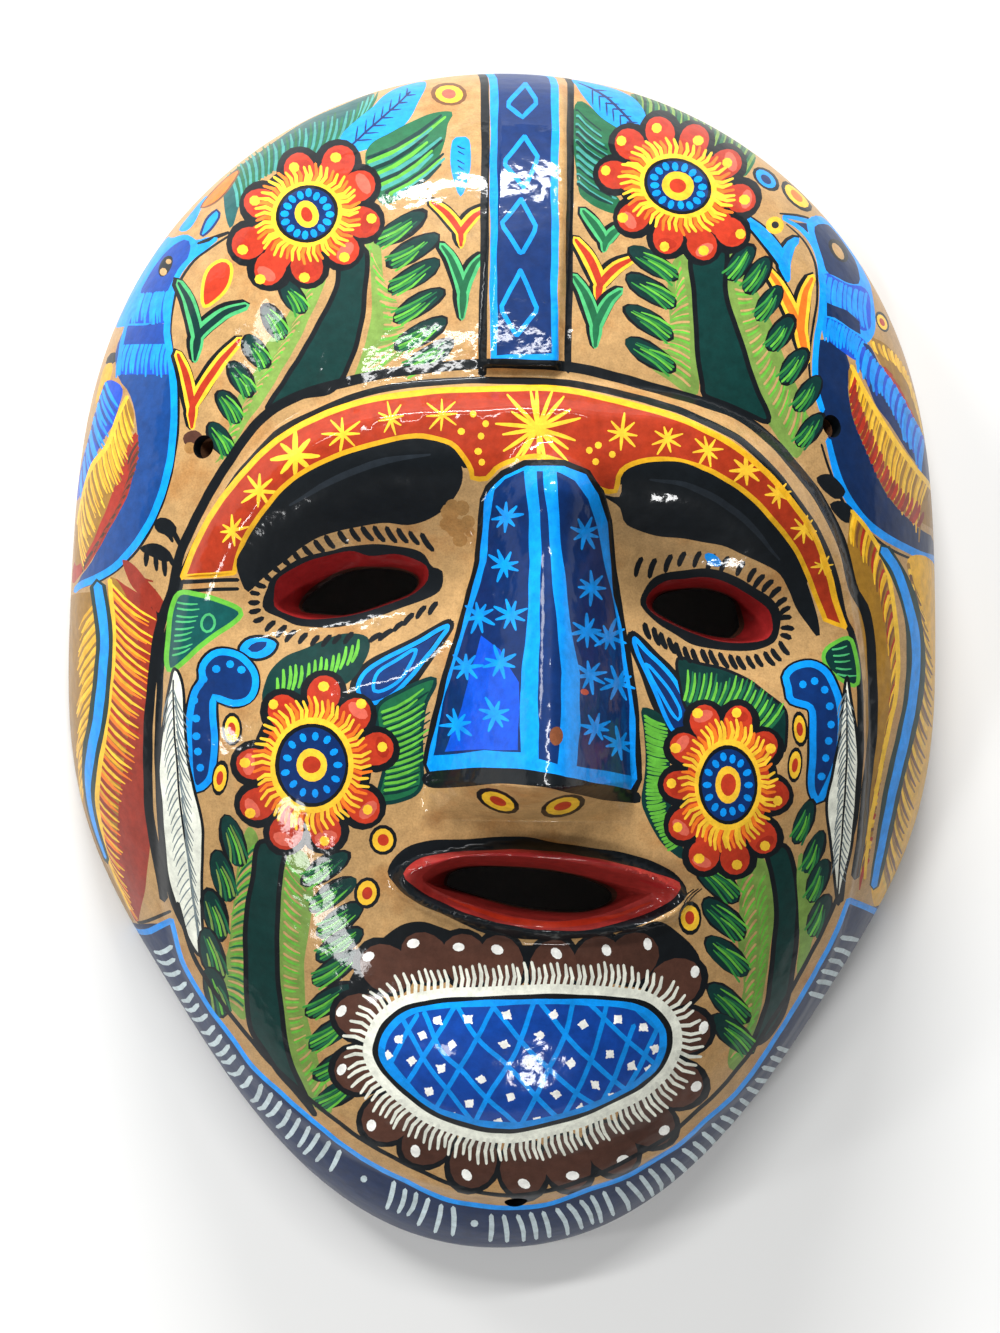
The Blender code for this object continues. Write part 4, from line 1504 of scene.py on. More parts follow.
@dataclass(frozen=True)
class Vee:
    """Two narrow leaves that part from one foot."""

    left: Place
    right: Place
    cleft: Place
    foot: Place
    edge: Hue
    inside: Hue
    width: float = 3.6

    def paint(self, canvas: Canvas) -> None:
        """Lays on the paint."""
        foot, cleft = np.asarray(self.foot, float), np.asarray(self.cleft, float)
        sides = []
        for tip in (np.asarray(self.left, float), np.asarray(self.right, float)):
            sides.append(np.array([tip, tip * 0.5 + cleft * 0.45 + foot * 0.05, cleft * 0.55 + foot * 0.45, foot]))
        thick = self.width * 3.4
        for shift, width, hue, tips in (((-1.8, -0.8), thick + 5.0, Hue.BLACK, (0.5, 0.3)),
                                        ((0, 0), thick, self.edge, (0.45, 0.3)),
                                        ((0, 0), thick - self.width * 1.7, self.inside, (0.3, 0.3))):
            for side in sides:
                canvas.stroke(side + np.array(shift), width, hue, tips, 6.0)


@dataclass(frozen=True)
class Fingers:
    """A row of dark leaflets, each with bright strokes from its root."""

    middles: str
    run: Place
    width: float
    lines: int = 5
    hue: Hue = Hue.DEEP_GREEN
    bright: Hue = Hue.MID_LEAF

    def paint(self, canvas: Canvas) -> None:
        """Lays on the paint."""
        run = np.asarray(self.run, float)
        side = np.array([-run[1], run[0]]) / math.hypot(*run)
        tilt = math.degrees(math.atan2(run[1], run[0]))
        for middle in places(self.middles):
            for more, hue in ((2.2, Hue.BLACK), (0.0, self.hue)):
                half = (math.hypot(*run) * 0.54 + more, self.width / 2.0 + more)
                canvas.lay(oval(middle, half, tilt, 14), hue, 1.2)
            for line in range(self.lines):
                shift = side * self.width * 0.86 * (line / max(self.lines - 1, 1) - 0.5)
                root = middle - run * canvas.hand.uniform(0.44, 0.54) + shift
                hue = (self.bright, Hue.GREEN, Hue.BRIGHT_LEAF)[line % 3]
                tip = root + run * canvas.hand.uniform(0.55, 0.88) - shift * 0.5
                canvas.stroke([root, (root + tip) / 2.0 + side * 1.5, tip], 2.3, hue, (0.9, 0.3), 9.0)


@dataclass(frozen=True)
class Flower:
    """A round flower: red petals, a ring of yellow strokes and a blue eye."""

    centre: Place
    eye: Place
    petals: str
    petal: float
    tips: str
    ring: Place
    heart: Place
    tilt: float = 0.0
    strokes: int = 52
    drops: int = 16
    fringe: float = 1.78

    def paint(self, canvas: Canvas) -> None:
        """Lays on the paint."""
        eye = np.asarray(self.eye)
        middles = places(self.petals)
        centre = np.asarray(self.centre, float)
        for middle in middles:
            canvas.lay(oval(middle, (self.petal + 5.5, self.petal + 5.5), 0.0, 16), Hue.BLACK)
        canvas.lay(oval(centre, eye * self.fringe * 1.04, self.tilt, 30), Hue.BLACK)
        for middle in middles:
            out = middle - centre
            tilt = math.degrees(math.atan2(out[1], out[0]))
            canvas.stroke([centre + out * 0.5, centre + out * 0.86], self.petal * 1.5, Hue.FLOWER_RED, (0.8, 0.9), 7.0)
            canvas.lay(oval(middle, (self.petal, self.petal * 0.88), tilt, 16), Hue.FLOWER_RED)
            canvas.lay(oval(centre + out * 1.10, (self.petal * 0.35, self.petal * 0.62), tilt, 10), Hue.PETAL_PINK
                       if canvas.hand.random() < 0.4 else Hue.RED)
        canvas.lay(oval(centre, eye * self.fringe * 0.86, self.tilt, 30), Hue.FLOWER_RED)
        canvas.rays(centre, eye * 1.12, eye * (self.fringe - 1.12), self.strokes, 3.8,
                    (Hue.YELLOW, Hue.ORANGE, Hue.YELLOW), self.tilt, 0.14)
        for share, hue in ((1.20, Hue.YELLOW), (1.05, Hue.BLACK), (0.95, Hue.NAVY)):
            canvas.lay(oval(centre, eye * share, self.tilt, 30), hue, 0.5)
        for drop in range(self.drops):
            angle = 2.0 * math.pi * drop / self.drops
            at = turned(np.array([math.cos(angle), math.sin(angle)]) * eye * canvas.hand.uniform(0.70, 0.78), self.tilt)
            tilt = math.degrees(math.atan2(at[1], at[0]))
            canvas.lay(oval(centre + at, (4.6, 3.3), tilt, 8), Hue.SKY, 0.3)
        for half, hue in ((self.ring, Hue.YELLOW), (self.heart, Hue.FLOWER_RED)):
            canvas.lay(oval(centre, half, self.tilt, 18), hue, 0.7)
        canvas.dots(places(self.tips), 5.2, Hue.YELLOW)


@dataclass(frozen=True)
class Touch:
    """A touch as it is written in a row: its kind, its hues, its numbers and its places."""

    kind: str
    hues: tuple[Hue, ...]
    numbers: tuple[float, ...]
    line: str

    def paint(self, canvas: Canvas) -> None:
        """Lays on the paint."""
        line, n, hue, spots = self.line, self.numbers, self.hues[0], places(self.line)
        match self.kind:
            case "fill":
                canvas.fill(line, hue, *n)
            case "shape":
                canvas.shape(line, hue, *n)
            case "stroke":
                canvas.stroke(line, n[0], hue, n[1:3] or (0.7, 0.7), *n[3:])
            case "loop":
                canvas.loop(line, n[0], hue, *n[1:])
            case "edged":
                canvas.outlined(line, *self.hues, *n)
            case "comb":
                canvas.comb(line, n[:2], n[2:4], int(n[4]), n[5], self.hues, n[6:] or (0.9, 0.35))
            case "dot" | "chip":
                canvas.dot(spots[0], n[0], hue, int(n[1]) if n[1:] else 8, self.kind == "chip")
            case "dots":
                canvas.dots(spots, n[0], hue)
            case "spot":
                canvas.lay(oval(spots[0], n[:2], n[2], int(n[3])), hue, *n[4:])
            case "bead":
                Bead(tuple(spots[0]), n[:2], n[2], *self.hues).paint(canvas)
            case "vee":
                Vee(*(tuple(spot) for spot in spots), *self.hues, n[0]).paint(canvas)
            case "fingers":
                Fingers(line, n[:2], n[2], int(n[3]), *self.hues).paint(canvas)
            case _:
                raise ValueError(f"no touch of the kind {self.kind}")


def draw(canvas: Canvas, rows: str) -> None:
    """Draws touches that are written as rows of kind, hues and numbers, a colon and the places.

    Args:
        canvas: what is painted on.
        rows: the rows, which may run on over lines that start with a number. A stroke between heads has
            each of them drawn on the places, and semicolons between places have the head drawn on each.
    """
    for row in re.split(r"\n(?=[a-z])", rows.strip()):
        heads, lines = row.split(":")
        for line in lines.split(";"):
            for head in heads.split("|"):
                kind, names, *numbers = head.split()
                hues = tuple(Hue[name] for name in names.split("+"))
                Touch(kind, hues, tuple(float(number) for number in numbers), line).paint(canvas)


@dataclass(frozen=True)
class Forehead:
    """The strip over the crown, and the leaves, flowers and palms beside it."""

    crown_left: str = """
fill TEAL: 223,199 226,172 262,147 300,117 338,100 374,84 366,117 341,142 314,157 279,169 254,184 239,207 232,228
226,219
comb PALE_TEAL+GREEN -10 -34 16 -34 42 3: 238,206 262,178 300,160 340,143 362,122
fill SKY: 340,142 346,130 369,110 399,84 427,76 414,110 399,130 374,147 354,153 344,152
stroke NAVY 2.2: 346,150 375,124 410,92
"""
    side_left: str = """
fill GREEN: 366,154 391,132 428,115 453,112 448,125 446,140 438,158 423,180 406,195 379,202
comb DEEP_GREEN+BRIGHT_LEAF+PALE_TEAL 72 -42 46 -34 13 4.2 0.9 0.4: 368,158 372,172 382,190 398,196
fill SKY: 452,140 460,137 469,140 471,160 468,182 461,197 454,182 450,160
comb NAVY 7 3 4 4 6 1.6: 458,146 458,180
fill SKY: 178,228 190,208 206,190 200,210 188,230
edged SKY+NAVY 2.4: 200,234 206,220 216,210 219,216 212,228 202,236
edged ORANGE+CLAY 2: 201,206 212,188 232,170 240,170 228,190 212,204
edged FLOWER_RED+YELLOW 3.2: 204,306 203,288 208,270 222,260 231,266 229,284 218,298
bead YELLOW+PETAL_PINK+CLAY 18 12 4: 449,94
vee YELLOW+FLOWER_RED 3.6: 432,202 485,209 461,222 461,246
vee MINT+GREEN 3.6: 442,246 483,256 464,272 462,318
vee MINT+DEEP_GREEN 4: 179,283 246,306 200,318 195,360
vee YELLOW+FLOWER_RED 4: 178,354 240,340 193,391 192,427
fill LEAF: 326,270 321,292 304,329 284,367 264,399 242,431 226,464 228,431 239,394 254,372 269,340 289,312 304,280
318,262
comb BRIGHT_LEAF+LEAF+TAN -15 22 -12 8 62 2.2: 322,268 304,312 276,362 248,408 228,454
fill LEAF: 366,237 379,236 384,295 392,324 404,344 396,358 354,385 361,359 371,319 370,270
comb BRIGHT_LEAF+LEAF+TAN 8 20 30 -20 36 2.2: 370,246 378,290 384,330 362,380
edged DEEP_GREEN+BLACK 5: 341,256 336,287 321,319 304,349 284,382 266,411 300,398 332,390 351,359 361,324 365,295
366,250
fingers DEEP_GREEN+MID_LEAF -19 -29 19 6: 293,297 274,322 256,351 241,379 229,407 220,439
fingers DEEP_GREEN+MID_LEAF 46 -28 19 6: 401,228 413,250 414,276 419,305 421,334 428,357
"""
    crown_right: str = """
fill GREEN: 575,106 597,112 619,132 607,164 604,184 619,199 622,214 604,211 587,201 577,184
comb DEEP_GREEN+GREEN+PALE_TEAL 26 22 36 22 28 3.6: 577,110 577,140 578,184
fill GREEN: 632,92 654,92 691,105 724,125 756,150 751,169 739,176 716,154 694,139 669,129 649,125 636,110
comb DEEP_GREEN+GREEN+LEAF -1 34 -16 26 48 3.4: 640,88 690,104 730,128 758,152
fill SKY: 574,76 597,78 624,90 641,107 646,122 644,139 624,131 602,117 586,100
stroke NAVY 2.4: 580,82 612,102 643,136
"""
    side_right: str = """
vee MINT+GREEN 3.6: 583,211 623,226 606,236 604,250
vee YELLOW+FLOWER_RED 4.2: 576,240 632,259 602,273 598,300
vee MINT+GREEN 4: 574,277 620,291 597,308 595,346
vee SKY+SKY 3.6: 748,220 797,240 782,250 788,280
vee YELLOW+ORANGE 4.2: 768,270 812,278 796,308 807,362
bead SKY+NAVY+BLACK 16 9 40: 766,179
bead YELLOW+ORANGE+BLACK 20 9 45: 797,196
bead YELLOW+BLACK+YELLOW 9 9 0: 775,225
fill LEAF: 677,256 691,262 694,312 697,358 697,395 670,381 649,364 668,349 670,318 668,281
comb BRIGHT_LEAF+LEAF+TAN -4 26 -34 -22 42 2.2: 680,262 688,310 690,386
fill LEAF: 727,252 738,254 757,290 773,327 788,367 806,410 811,424 799,458 780,442 758,406 740,356 728,300
comb BRIGHT_LEAF+LEAF+TAN 16 8 8 -34 56 2.2: 729,260 746,330 768,392 798,450
edged DEEP_GREEN+BLACK 5: 693,252 694,296 697,342 702,385 705,396 735,408 768,422 758,391 746,358 734,321 725,287
725,250
fingers DEEP_GREEN+MID_LEAF -44 -28 19 6: 653,263 651,290 649,322 650,354
fingers DEEP_GREEN+MID_LEAF 22 -30 18 5: 740,262 757,275 769,303 781,333 794,366 807,394 810,430
"""

    def strip(self, canvas: Canvas) -> None:
        """Draws the blue strip with its run of diamonds."""
        for line, width in (("485,56 485,200 482,374", 8.5), ("571,56 570,200 568,370", 7.0)):
            canvas.stroke(line, width, Hue.BLACK, (1.0, 1.0), 9.0)
        canvas.shape("490,50 559,50 558,362 490,364", Hue.SKY, 9.0)
        canvas.shape("498,50 551,50 551,353 497,356", Hue.NAVY, 9.0)
        for diamond in ("525,84 506,105 523,117 538,102", "525,137 504,162 524,188 538,158",
                        "521,199 501,224 522,255 537,227", "520,270 500,309 517,336 538,310"):
            canvas.loop(diamond, 4.6, Hue.SKY, 6.0, False)

    def left(self, canvas: Canvas) -> None:
        """Paints the left half."""
        draw(canvas, self.crown_left)
        for along in range(7):
            x, y = 356 + along * 8.4, 141 - along * 7.6
            canvas.stroke([(x, y), (x + 2, y - 15 + along)], 1.7, Hue.NAVY, (0.8, 0.3))
            canvas.stroke([(x, y), (x + 15 - along, y - 1)], 1.7, Hue.NAVY, (0.8, 0.3))
        draw(canvas, self.side_left)
        Flower((307, 214), (30, 27), "338,162 300,170 262,204 249,243 270,268 307,266 342,248 362,222 358,186",
               18.0, "336,157 294,167 255,200 242,250 260,279 305,277 344,257 372,218", (12, 14), (5.5, 8),
               -20.0).paint(canvas)

    def right(self, canvas: Canvas) -> None:
        """Paints the right half."""
        draw(canvas, self.crown_right)
        for along in range(7):
            x, y = 592 + along * 7.0, 90 + along * 6.4
            canvas.stroke([(x, y), (x + 1, y + 15 - along)], 1.7, Hue.NAVY, (0.8, 0.3))
            canvas.stroke([(x, y), (x + 15 - along, y + 1)], 1.7, Hue.NAVY, (0.8, 0.3))
        draw(canvas, self.side_right)
        Flower((678, 186), (33, 26), "660,132 694,141 726,164 740,198 730,232 702,244 668,238 634,217 615,175 630,144",
               16.5, "657,128 698,140 727,163 745,199 740,234 704,251 664,247 623,218 606,171 621,141", (16, 14.5),
               (8.7, 7.5), 20.0).paint(canvas)

    def paint(self, canvas: Canvas) -> None:
        """Lays on the paint."""
        self.left(canvas)
        self.right(canvas)
        self.strip(canvas)


@dataclass(frozen=True)
class BrowBand:
    """The arch lines, the red band with its stars, and the brows."""

    outer: str = ("164,898 158,864 152,830 148,795 148,738 151,692 156,646 163,617 173,589 179,558 190,531 205,501"
                  " 229,461 264,416 304,394 341,383 379,375 428,368 480,364 526,364 572,367 618,378 664,391 700,401"
                  " 740,416 771,440 801,474 823,505 841,541 853,587 865,611 871,646 873,692 872,738 867,784 862,830"
                  " 855,876")
    inner: str = ("189,933 172,898 166,864 160,818 158,761 159,703 162,657 175,608 182,577 190,556 205,527 219,507"
                  " 236,478 269,441 289,426 319,411 354,397 391,387 428,383 478,380 526,381 572,384 618,393 664,405"
                  " 700,419 740,440 771,468 798,502 817,532 832,566 844,617 852,634 859,680 861,738 858,784 855,818"
                  " 846,860 840,900")
    band_top: str = ("183,577 192,553 212,513 234,484 259,456 284,436 309,421 341,408 379,398 428,392 478,389 535,388"
                     " 572,391 618,401 664,413 700,427 740,450 771,477 798,509 817,541 829,575 835,600 845,627")
    band_foot: str = ("825,620 817,600 807,572 792,544 768,514 740,488 706,469 676,460 651,459 630,465 619,475 615,491"
                      " 601,489 593,483 581,471 563,462 541,456 520,458 503,464 493,471 488,478 473,478 471,469 463,456"
                      " 451,444 433,438 416,436 391,439 354,450 329,459 304,471 279,491 254,523 239,551 234,573")
    stars: tuple[tuple[float, float, float, float], ...] = (
        (232, 531, 15, 3.4), (259, 491, 19, 3.6), (295, 456, 23, 5.4), (343, 434, 19, 3.0), (391, 419, 16, 2.8),
        (442, 415, 18, 2.6), (622, 433, 19, 3.4), (667, 439, 16, 3.2), (708, 450, 17, 3.2), (746, 470, 16, 4.2),
        (778, 494, 15, 3.4), (804, 529, 13, 3.2), (823, 566, 11, 2.8))

    def paint(self, canvas: Canvas) -> None:
        """Lays on the paint."""
        canvas.stroke(self.outer, 10.0, Hue.BLACK, (0.8, 0.8), 8.0)
        canvas.stroke(self.inner, 7.0, Hue.BLACK, (0.8, 0.8), 8.0)
        band = np.vstack([curve(self.band_top, 8.0), curve(self.band_foot, 6.0)])
        canvas.lay(band, Hue.BROW_RED, unsteady=0.0)
        for x, y, reach, width in self.stars:
            Star((x, y), reach, Hue.YELLOW, 8, width).paint(canvas)
        Star((538, 428), 42, Hue.YELLOW, 18, 4.0).paint(canvas)
        canvas.dots(places("589,450 598,445 612,454 596,462 482,462 461,431 478,451 473,414 481,436 486,424"), 3.6,
                    Hue.YELLOW)
        for edge, shift in (("464,458 451,444 433,438 416,436 391,439 354,450 329,459 304,471 279,491 254,523 241,551",
                             (2, 7)),
                            ("808,574 792,544 768,514 740,488 706,469 676,460 651,459 630,465 621,475", (-3, 7))):
            canvas.stroke(places(edge) + np.array(shift), 13.0, Hue.BLACK, (0.5, 0.5), 7.0)
        canvas.stroke(self.band_foot, 5.0, Hue.GOLD, (1.0, 1.0), 7.0)
        canvas.stroke(self.band_top, 6.0, Hue.GOLD, (1.0, 1.0), 8.0)
        canvas.stroke("182,577 206,575 234,573", 5.0, Hue.GOLD, (1.0, 1.0))
        canvas.stroke("825,620 835,624 845,627", 4.0, Hue.GOLD, (1.0, 1.0))
        canvas.stroke("182,582 238,580", 4.0, Hue.BLACK, (1.0, 1.0))
        canvas.stroke("182,591 238,589", 3.6, Hue.BLACK, (1.0, 1.0))
        left = ("237,560 254,531 274,509 304,484 329,469 366,453 404,441 428,440 446,445 458,459 463,476 456,496"
                " 436,516 411,525 384,523 354,527 324,536 304,546 289,558 262,580 248,592 240,580")
        right = ("601,495 619,497 622,480 633,468 654,462 682,463 713,476 743,495 771,523 792,551 807,581 820,637"
                 " 798,612 789,590 777,572 755,560 725,547 688,540 651,535 630,526 624,520 619,507")
        # The lighter grey stroke on each brow is a painted highlight, a sheen of light along it.
        for brow, sheen in ((left, "290,505 330,482 380,462 430,455"), (right, "650,480 690,486 740,515 780,560")):
            canvas.fill(brow, Hue.BLACK, 6.0)
            canvas.stroke(sheen, 7.0, Hue.SOOT, (0.2, 0.2), 9.0)


@dataclass(frozen=True)
class Nose:
    """The blue nose: two starred sides, a ridge strip and the painted nostrils."""

    stars: str = "506,517 504,565 479,616 511,615 466,667 500,663 457,725 495,714 585,533 592,588 587,631 609,637" \
                 " 590,675 618,683 596,728 619,744"

    def paint(self, canvas: Canvas) -> None:
        """Lays on the paint."""
        canvas.shape("479,498 475,561 459,619 442,673 430,726 423,762 429,782 492,779 546,781 590,791 634,798 642,779"
                     " 640,719 631,653 620,595 612,520 604,491 590,471 565,460 524,459 500,471 485,486", Hue.BLACK)
        canvas.shape("484,497 480,561 464,620 448,673 436,726 427,764 430,771 485,768 546,772 590,782 631,790 637,779"
                     " 635,719 626,653 614,595 607,522 599,494 586,475 564,466 526,465 504,476 490,489", Hue.SKY)
        canvas.shape("524,470 505,479 495,490 490,520 486,562 473,605 457,658 443,704 433,756 485,750 521,753 519,726"
                     " 522,673 527,619 530,561 528,513", Hue.NAVY)
        canvas.shape("481,636 500,650 519,682 518,750 485,749 445,752 462,706 470,670", Hue.ROYAL)
        canvas.shape("537,471 543,471 547,512 551,561 556,619 562,673 560,726 558,764 538,758 539,726 538,673 540,619"
                     " 541,561 540,512", Hue.NAVY)
        canvas.shape("556,471 575,480 589,499 600,542 611,590 621,646 629,706 631,776 576,766 581,726 579,673 570,619"
                     " 563,561 559,513", Hue.NAVY)
        for x, y in places(self.stars):
            Star((float(x), float(y)), 17.0, Hue.SKY, 8, 4.2).paint(canvas)
        canvas.fill("428,772 485,768 546,772 590,783 636,792 640,800 634,803 590,797 546,788 492,784 432,788",
                    Hue.BLACK)
        canvas.fill("551,730 558,727 563,733 562,742 556,746 550,740", Hue.CLAY_RED, 3.0, bare=True)
        canvas.lay(oval((585, 692), (4.5, 3.0), 20.0, 8), Hue.PETAL_PINK, bare=True)
        for middle, tilt in (((498, 801), 22.0), ((563, 806), -16.0)):
            Bead(middle, (23, 10.5), tilt, Hue.YELLOW, Hue.FLOWER_RED).paint(canvas)


@dataclass(frozen=True)
class EyesAndMouth:
    """Black outlines and lashes round the eyes, and the red lips."""

    left_eye: str = ("263,602 267,589 274,576 300,559 332,550 347,546 383,545 421,552 432,567 442,572 439,591 408,605"
                     " 376,618 332,627 300,626 281,619 265,611")
    right_eye: str = ("640,600 648,584 660,574 683,570 706,569 729,574 752,586 773,601 781,614 780,630 773,643 752,651"
                      " 729,651 700,647 680,638 660,625 645,611")

    def paint(self, canvas: Canvas) -> None:
        """Lays on the paint."""
        stains = places("450,512 462,508 468,522 456,528 447,524 460,540 452,505 470,532")
        for spot, radius in zip(stains, (9, 8, 7, 10, 7, 7, 6, 5)):
            canvas.dot(spot, radius, Hue.DEEP_TAN, 10, True)
        for outline in (self.left_eye, self.right_eye):
            canvas.fill(outline, Hue.BLACK, 5.0)
        combs = (("422,535 391,529 362,528 333,534 310,544 290,554 276,563 265,574", (10, 14), (6, 6), 15),
                 ("256,584 251,596 250,609 255,621", (8, 3), (9, -4), 5),
                 ("436,603 416,612 396,628 380,634", (-8, 12), (-12, 8), 6),
                 ("352,634 322,637 300,633 274,622", (-7, 8), (-8, 9), 8),
                 ("641,559 655,560 671,556 684,553 700,553 734,560 746,564 755,570", (-5, 16), (-7, 12), 9),
                 ("763,576 772,582 780,589 785,598 789,608", (-8, 10), (-8, 6), 5),
                 ("790,617 792,628 790,638", (-10, 1), (-9, -3), 3),
                 ("645,624 655,630 667,638 678,645 690,650 712,652 724,655 742,658 760,655 772,650 780,643", (5, 15),
                  (8, 10), 17))
        for line, first, last, count in combs:
            canvas.comb(line, first, last, count, 5.8, Hue.BLACK, (0.75, 0.6))
        canvas.lay(oval((713, 560), (10, 5), 32.0, 10), Hue.SKY)
        canvas.fill("388,871 400,852 428,841 480,838 522,837 558,843 617,851 659,864 678,877 686,896 659,917 617,932"
                    " 554,940 491,934 449,917 409,898 394,883", Hue.BLACK, 6.0)
        canvas.fill("403,873 417,860 445,853 480,850 522,850 565,853 607,860 649,871 676,881 681,887 670,900 638,917"
                    " 596,928 554,931 512,926 470,914 438,900 413,885", Hue.LIP_RED, 6.0)
        # Darker red along the upper lip and into the right corner: painted shade on the lip's downward face and in the
        # corner crease.
        canvas.stroke("413,873 440,861 482,855 530,855 578,858 618,866", 5.0, Hue.EYE_RED, (0.2, 0.2))
        canvas.stroke("678,889 660,886 640,882", 5.0, Hue.EYE_RED, (0.2, 0.9))
        # Lighter red along the lower lip: painted light on its upward face.
        canvas.stroke("448,898 500,917 556,925 610,917 650,903", 6.0, Hue.RED, (0.2, 0.2))
        for start in (680, 684, 688):
            canvas.stroke([(start, 903), (start + 6, 895), (start + 14, 889)], 1.4, Hue.BLACK)


@dataclass(frozen=True)
class Cheeks:
    """Flowers, palms, feathers and leaves beside the mouth."""

    left_rows: str = """
edged SKY+BLACK 3: 238,652 246,639 262,636 278,642 270,656 254,660
fill NAVY: 248,649 255,643 267,643 262,650 254,653
loop BLACK 11 | fill NAVY | loop SKY 6.8: 202,680 202,667 212,655 225,652 241,657 253,671 255,687 248,699 234,703
221,699 214,697 213,715 214,738 213,761 209,779 198,789 191,781 189,749 190,715 195,692
dots SKY 4: 195,700 196,718 196,736 198,752 200,768 204,679 216,669 241,670 230,664
edged CREAM+BLACK 3: 174,668 182,683 185,715 187,756 193,784 200,811 203,830 202,853 202,898 202,956 185,931 170,887
164,841 160,795 159,765 163,726 168,692
stroke BLACK 2: 173,680 175,740 180,800 188,860 200,945
comb GREY 14 30 6 34 30 1.5: 174,690 177,740 180,780 187,850 198,930
comb GREY -8 24 -10 14 26 1.4: 172,690 174,740 176,780 184,850 195,915
bead YELLOW+FLOWER_RED+BLACK 10 17 0: 232,729
bead YELLOW+FLOWER_RED+BLACK 8.5 18 8: 220,778
edged NAVY+BLACK 9: 450,623 420,639 391,653 366,668 355,684 356,697 369,706 391,700 410,684 426,661 442,639
loop SKY 4.2: 448,626 420,641 392,655 368,670 358,684 360,696 370,703 390,697 408,681 424,660 440,640
loop SKY 3.4: 374,690 378,673 398,660 416,649 404,675 388,688
fill DEEP_GREEN: 266,704 266,681 281,659 308,648 343,633 368,637 368,655 355,677 342,686 305,695
comb BRIGHT_LEAF 2 -24 6 -20 14 3.6 0.6 0.5: 276,700 292,690 320,680 352,662
edged GREEN+DEEP_GREEN 4: 378,706 398,693 430,678 435,684 424,712 421,754 421,786 404,799 378,800 386,763 378,732
comb BRIGHT_LEAF+DEEP_GREEN 40 -22 32 -8 28 3: 382,712 388,750 384,794
fill LEAF: 248,827 259,840 252,875 248,939 247,1002 242,1020 223,987 229,939 235,891 240,850
comb BRIGHT_LEAF+GREEN+TAN -14 20 -14 -10 42 2.2: 254,845 247,900 244,960 243,1010
fill LEAF: 284,850 306,854 314,891 310,923 304,964 308,1018 318,1060 330,1092 330,1114 312,1103 289,1056 280,987
278,923 281,875
comb BRIGHT_LEAF+LEAF+TAN 18 22 8 -16 70 2.2: 286,860 284,930 286,1000 300,1060 318,1104
edged DEEP_GREEN+BLACK 5: 259,842 253,875 246,923 246,987 251,1028 264,1050 276,1068 296,1092 316,1116 308,1101
288,1052 279,987 277,923 281,875 284,850
fingers DEEP_GREEN+LEAF -14 -46 21 5: 233,841 223,876 215,915 212,954 216,992
fingers DEEP_GREEN+MID_LEAF 42 -27 20 6: 326,868 333,894 340,920 340,944 336,968 330,1000 332,1032 338,1064 340,1092
"""
    right_rows: str = """
edged DEEP_GREEN+BRIGHT_LEAF 4: 852,640 832,644 823,657 832,673 857,685
comb MINT 16 -4 16 2 5 2: 832,650 838,674
loop BLACK 11 | fill NAVY | loop SKY 6.8: 788,687 786,676 795,667 811,664 825,671 834,685 839,701 841,729 837,761
828,784 820,800 813,795 811,779 813,749 813,715 809,706 797,703 790,699
dots SKY 4: 803,684 815,681 825,690 830,706 831,725 829,741 826,758 822,776
edged CREAM+BLACK 3: 847,677 852,703 857,738 858,772 855,818 850,853 843,879 838,905 834,876 831,841 826,807 832,774
839,742 843,703
stroke BLACK 2: 846,690 847,760 842,830 838,896
comb GREY 8 18 6 12 26 1.4: 846,694 848,770 840,870
comb GREY -8 20 -6 14 26 1.4: 846,694 845,770 838,860
bead YELLOW+FLOWER_RED+BLACK 8 18 -4: 800,729
bead YELLOW+FLOWER_RED+BLACK 7.5 18 6: 795,765
bead YELLOW+FLOWER_RED+BLACK 12 17 0: 690,918
edged NAVY+BLACK 9: 632,634 651,652 673,674 689,700 693,728 683,737 670,733 657,706 645,674 634,649
loop SKY 4.2: 634,638 651,655 672,677 686,702 689,726 681,733 672,729 660,704 647,673 637,650
loop SKY 3.2: 646,664 662,680 680,708 678,720 664,700
edged DEEP_GREEN+BLACK 3: 677,659 697,663 722,669 748,680 773,699 786,714 785,750 772,740 756,730 734,714 708,711
688,711 680,684
comb BRIGHT_LEAF+GREEN 4 -30 20 -24 28 3: 684,700 706,706 736,710 766,732
fill DEEP_GREEN: 642,707 664,718 669,748 670,779 674,818 684,858 664,845 647,818 641,799 646,763 644,732
comb BRIGHT_LEAF 22 10 14 -10 36 3.4 0.7 0.5: 645,716 648,760 648,806 668,850
fill LEAF: 737,875 758,854 771,875 774,907 771,939 765,987 755,1031 736,1069 728,1060 737,1019 743,987 738,939 740,907
comb BRIGHT_LEAF+LEAF+TAN -12 24 -8 8 50 2.2: 752,866 756,930 752,1000 738,1056
comb LEAF+BRIGHT_LEAF -8 20 -8 14 36 2: 764,872 768,930 760,1000 748,1040
edged DEEP_GREEN+BLACK 5: 767,850 772,875 776,907 773,955 767,1003 753,1042 768,1036 783,1012 791,980 797,939 798,901
794,869 786,846
fill LEAF: 798,856 812,870 820,905 814,935 802,975 797,970 799,930
fingers DEEP_GREEN+MID_LEAF -36 -34 23 6: 718,882 724,919 727,956 728,1003 733,1034
fingers DEEP_GREEN+MID_LEAF 16 -38 16 5: 804,822 814,852 818,880 819,915
"""

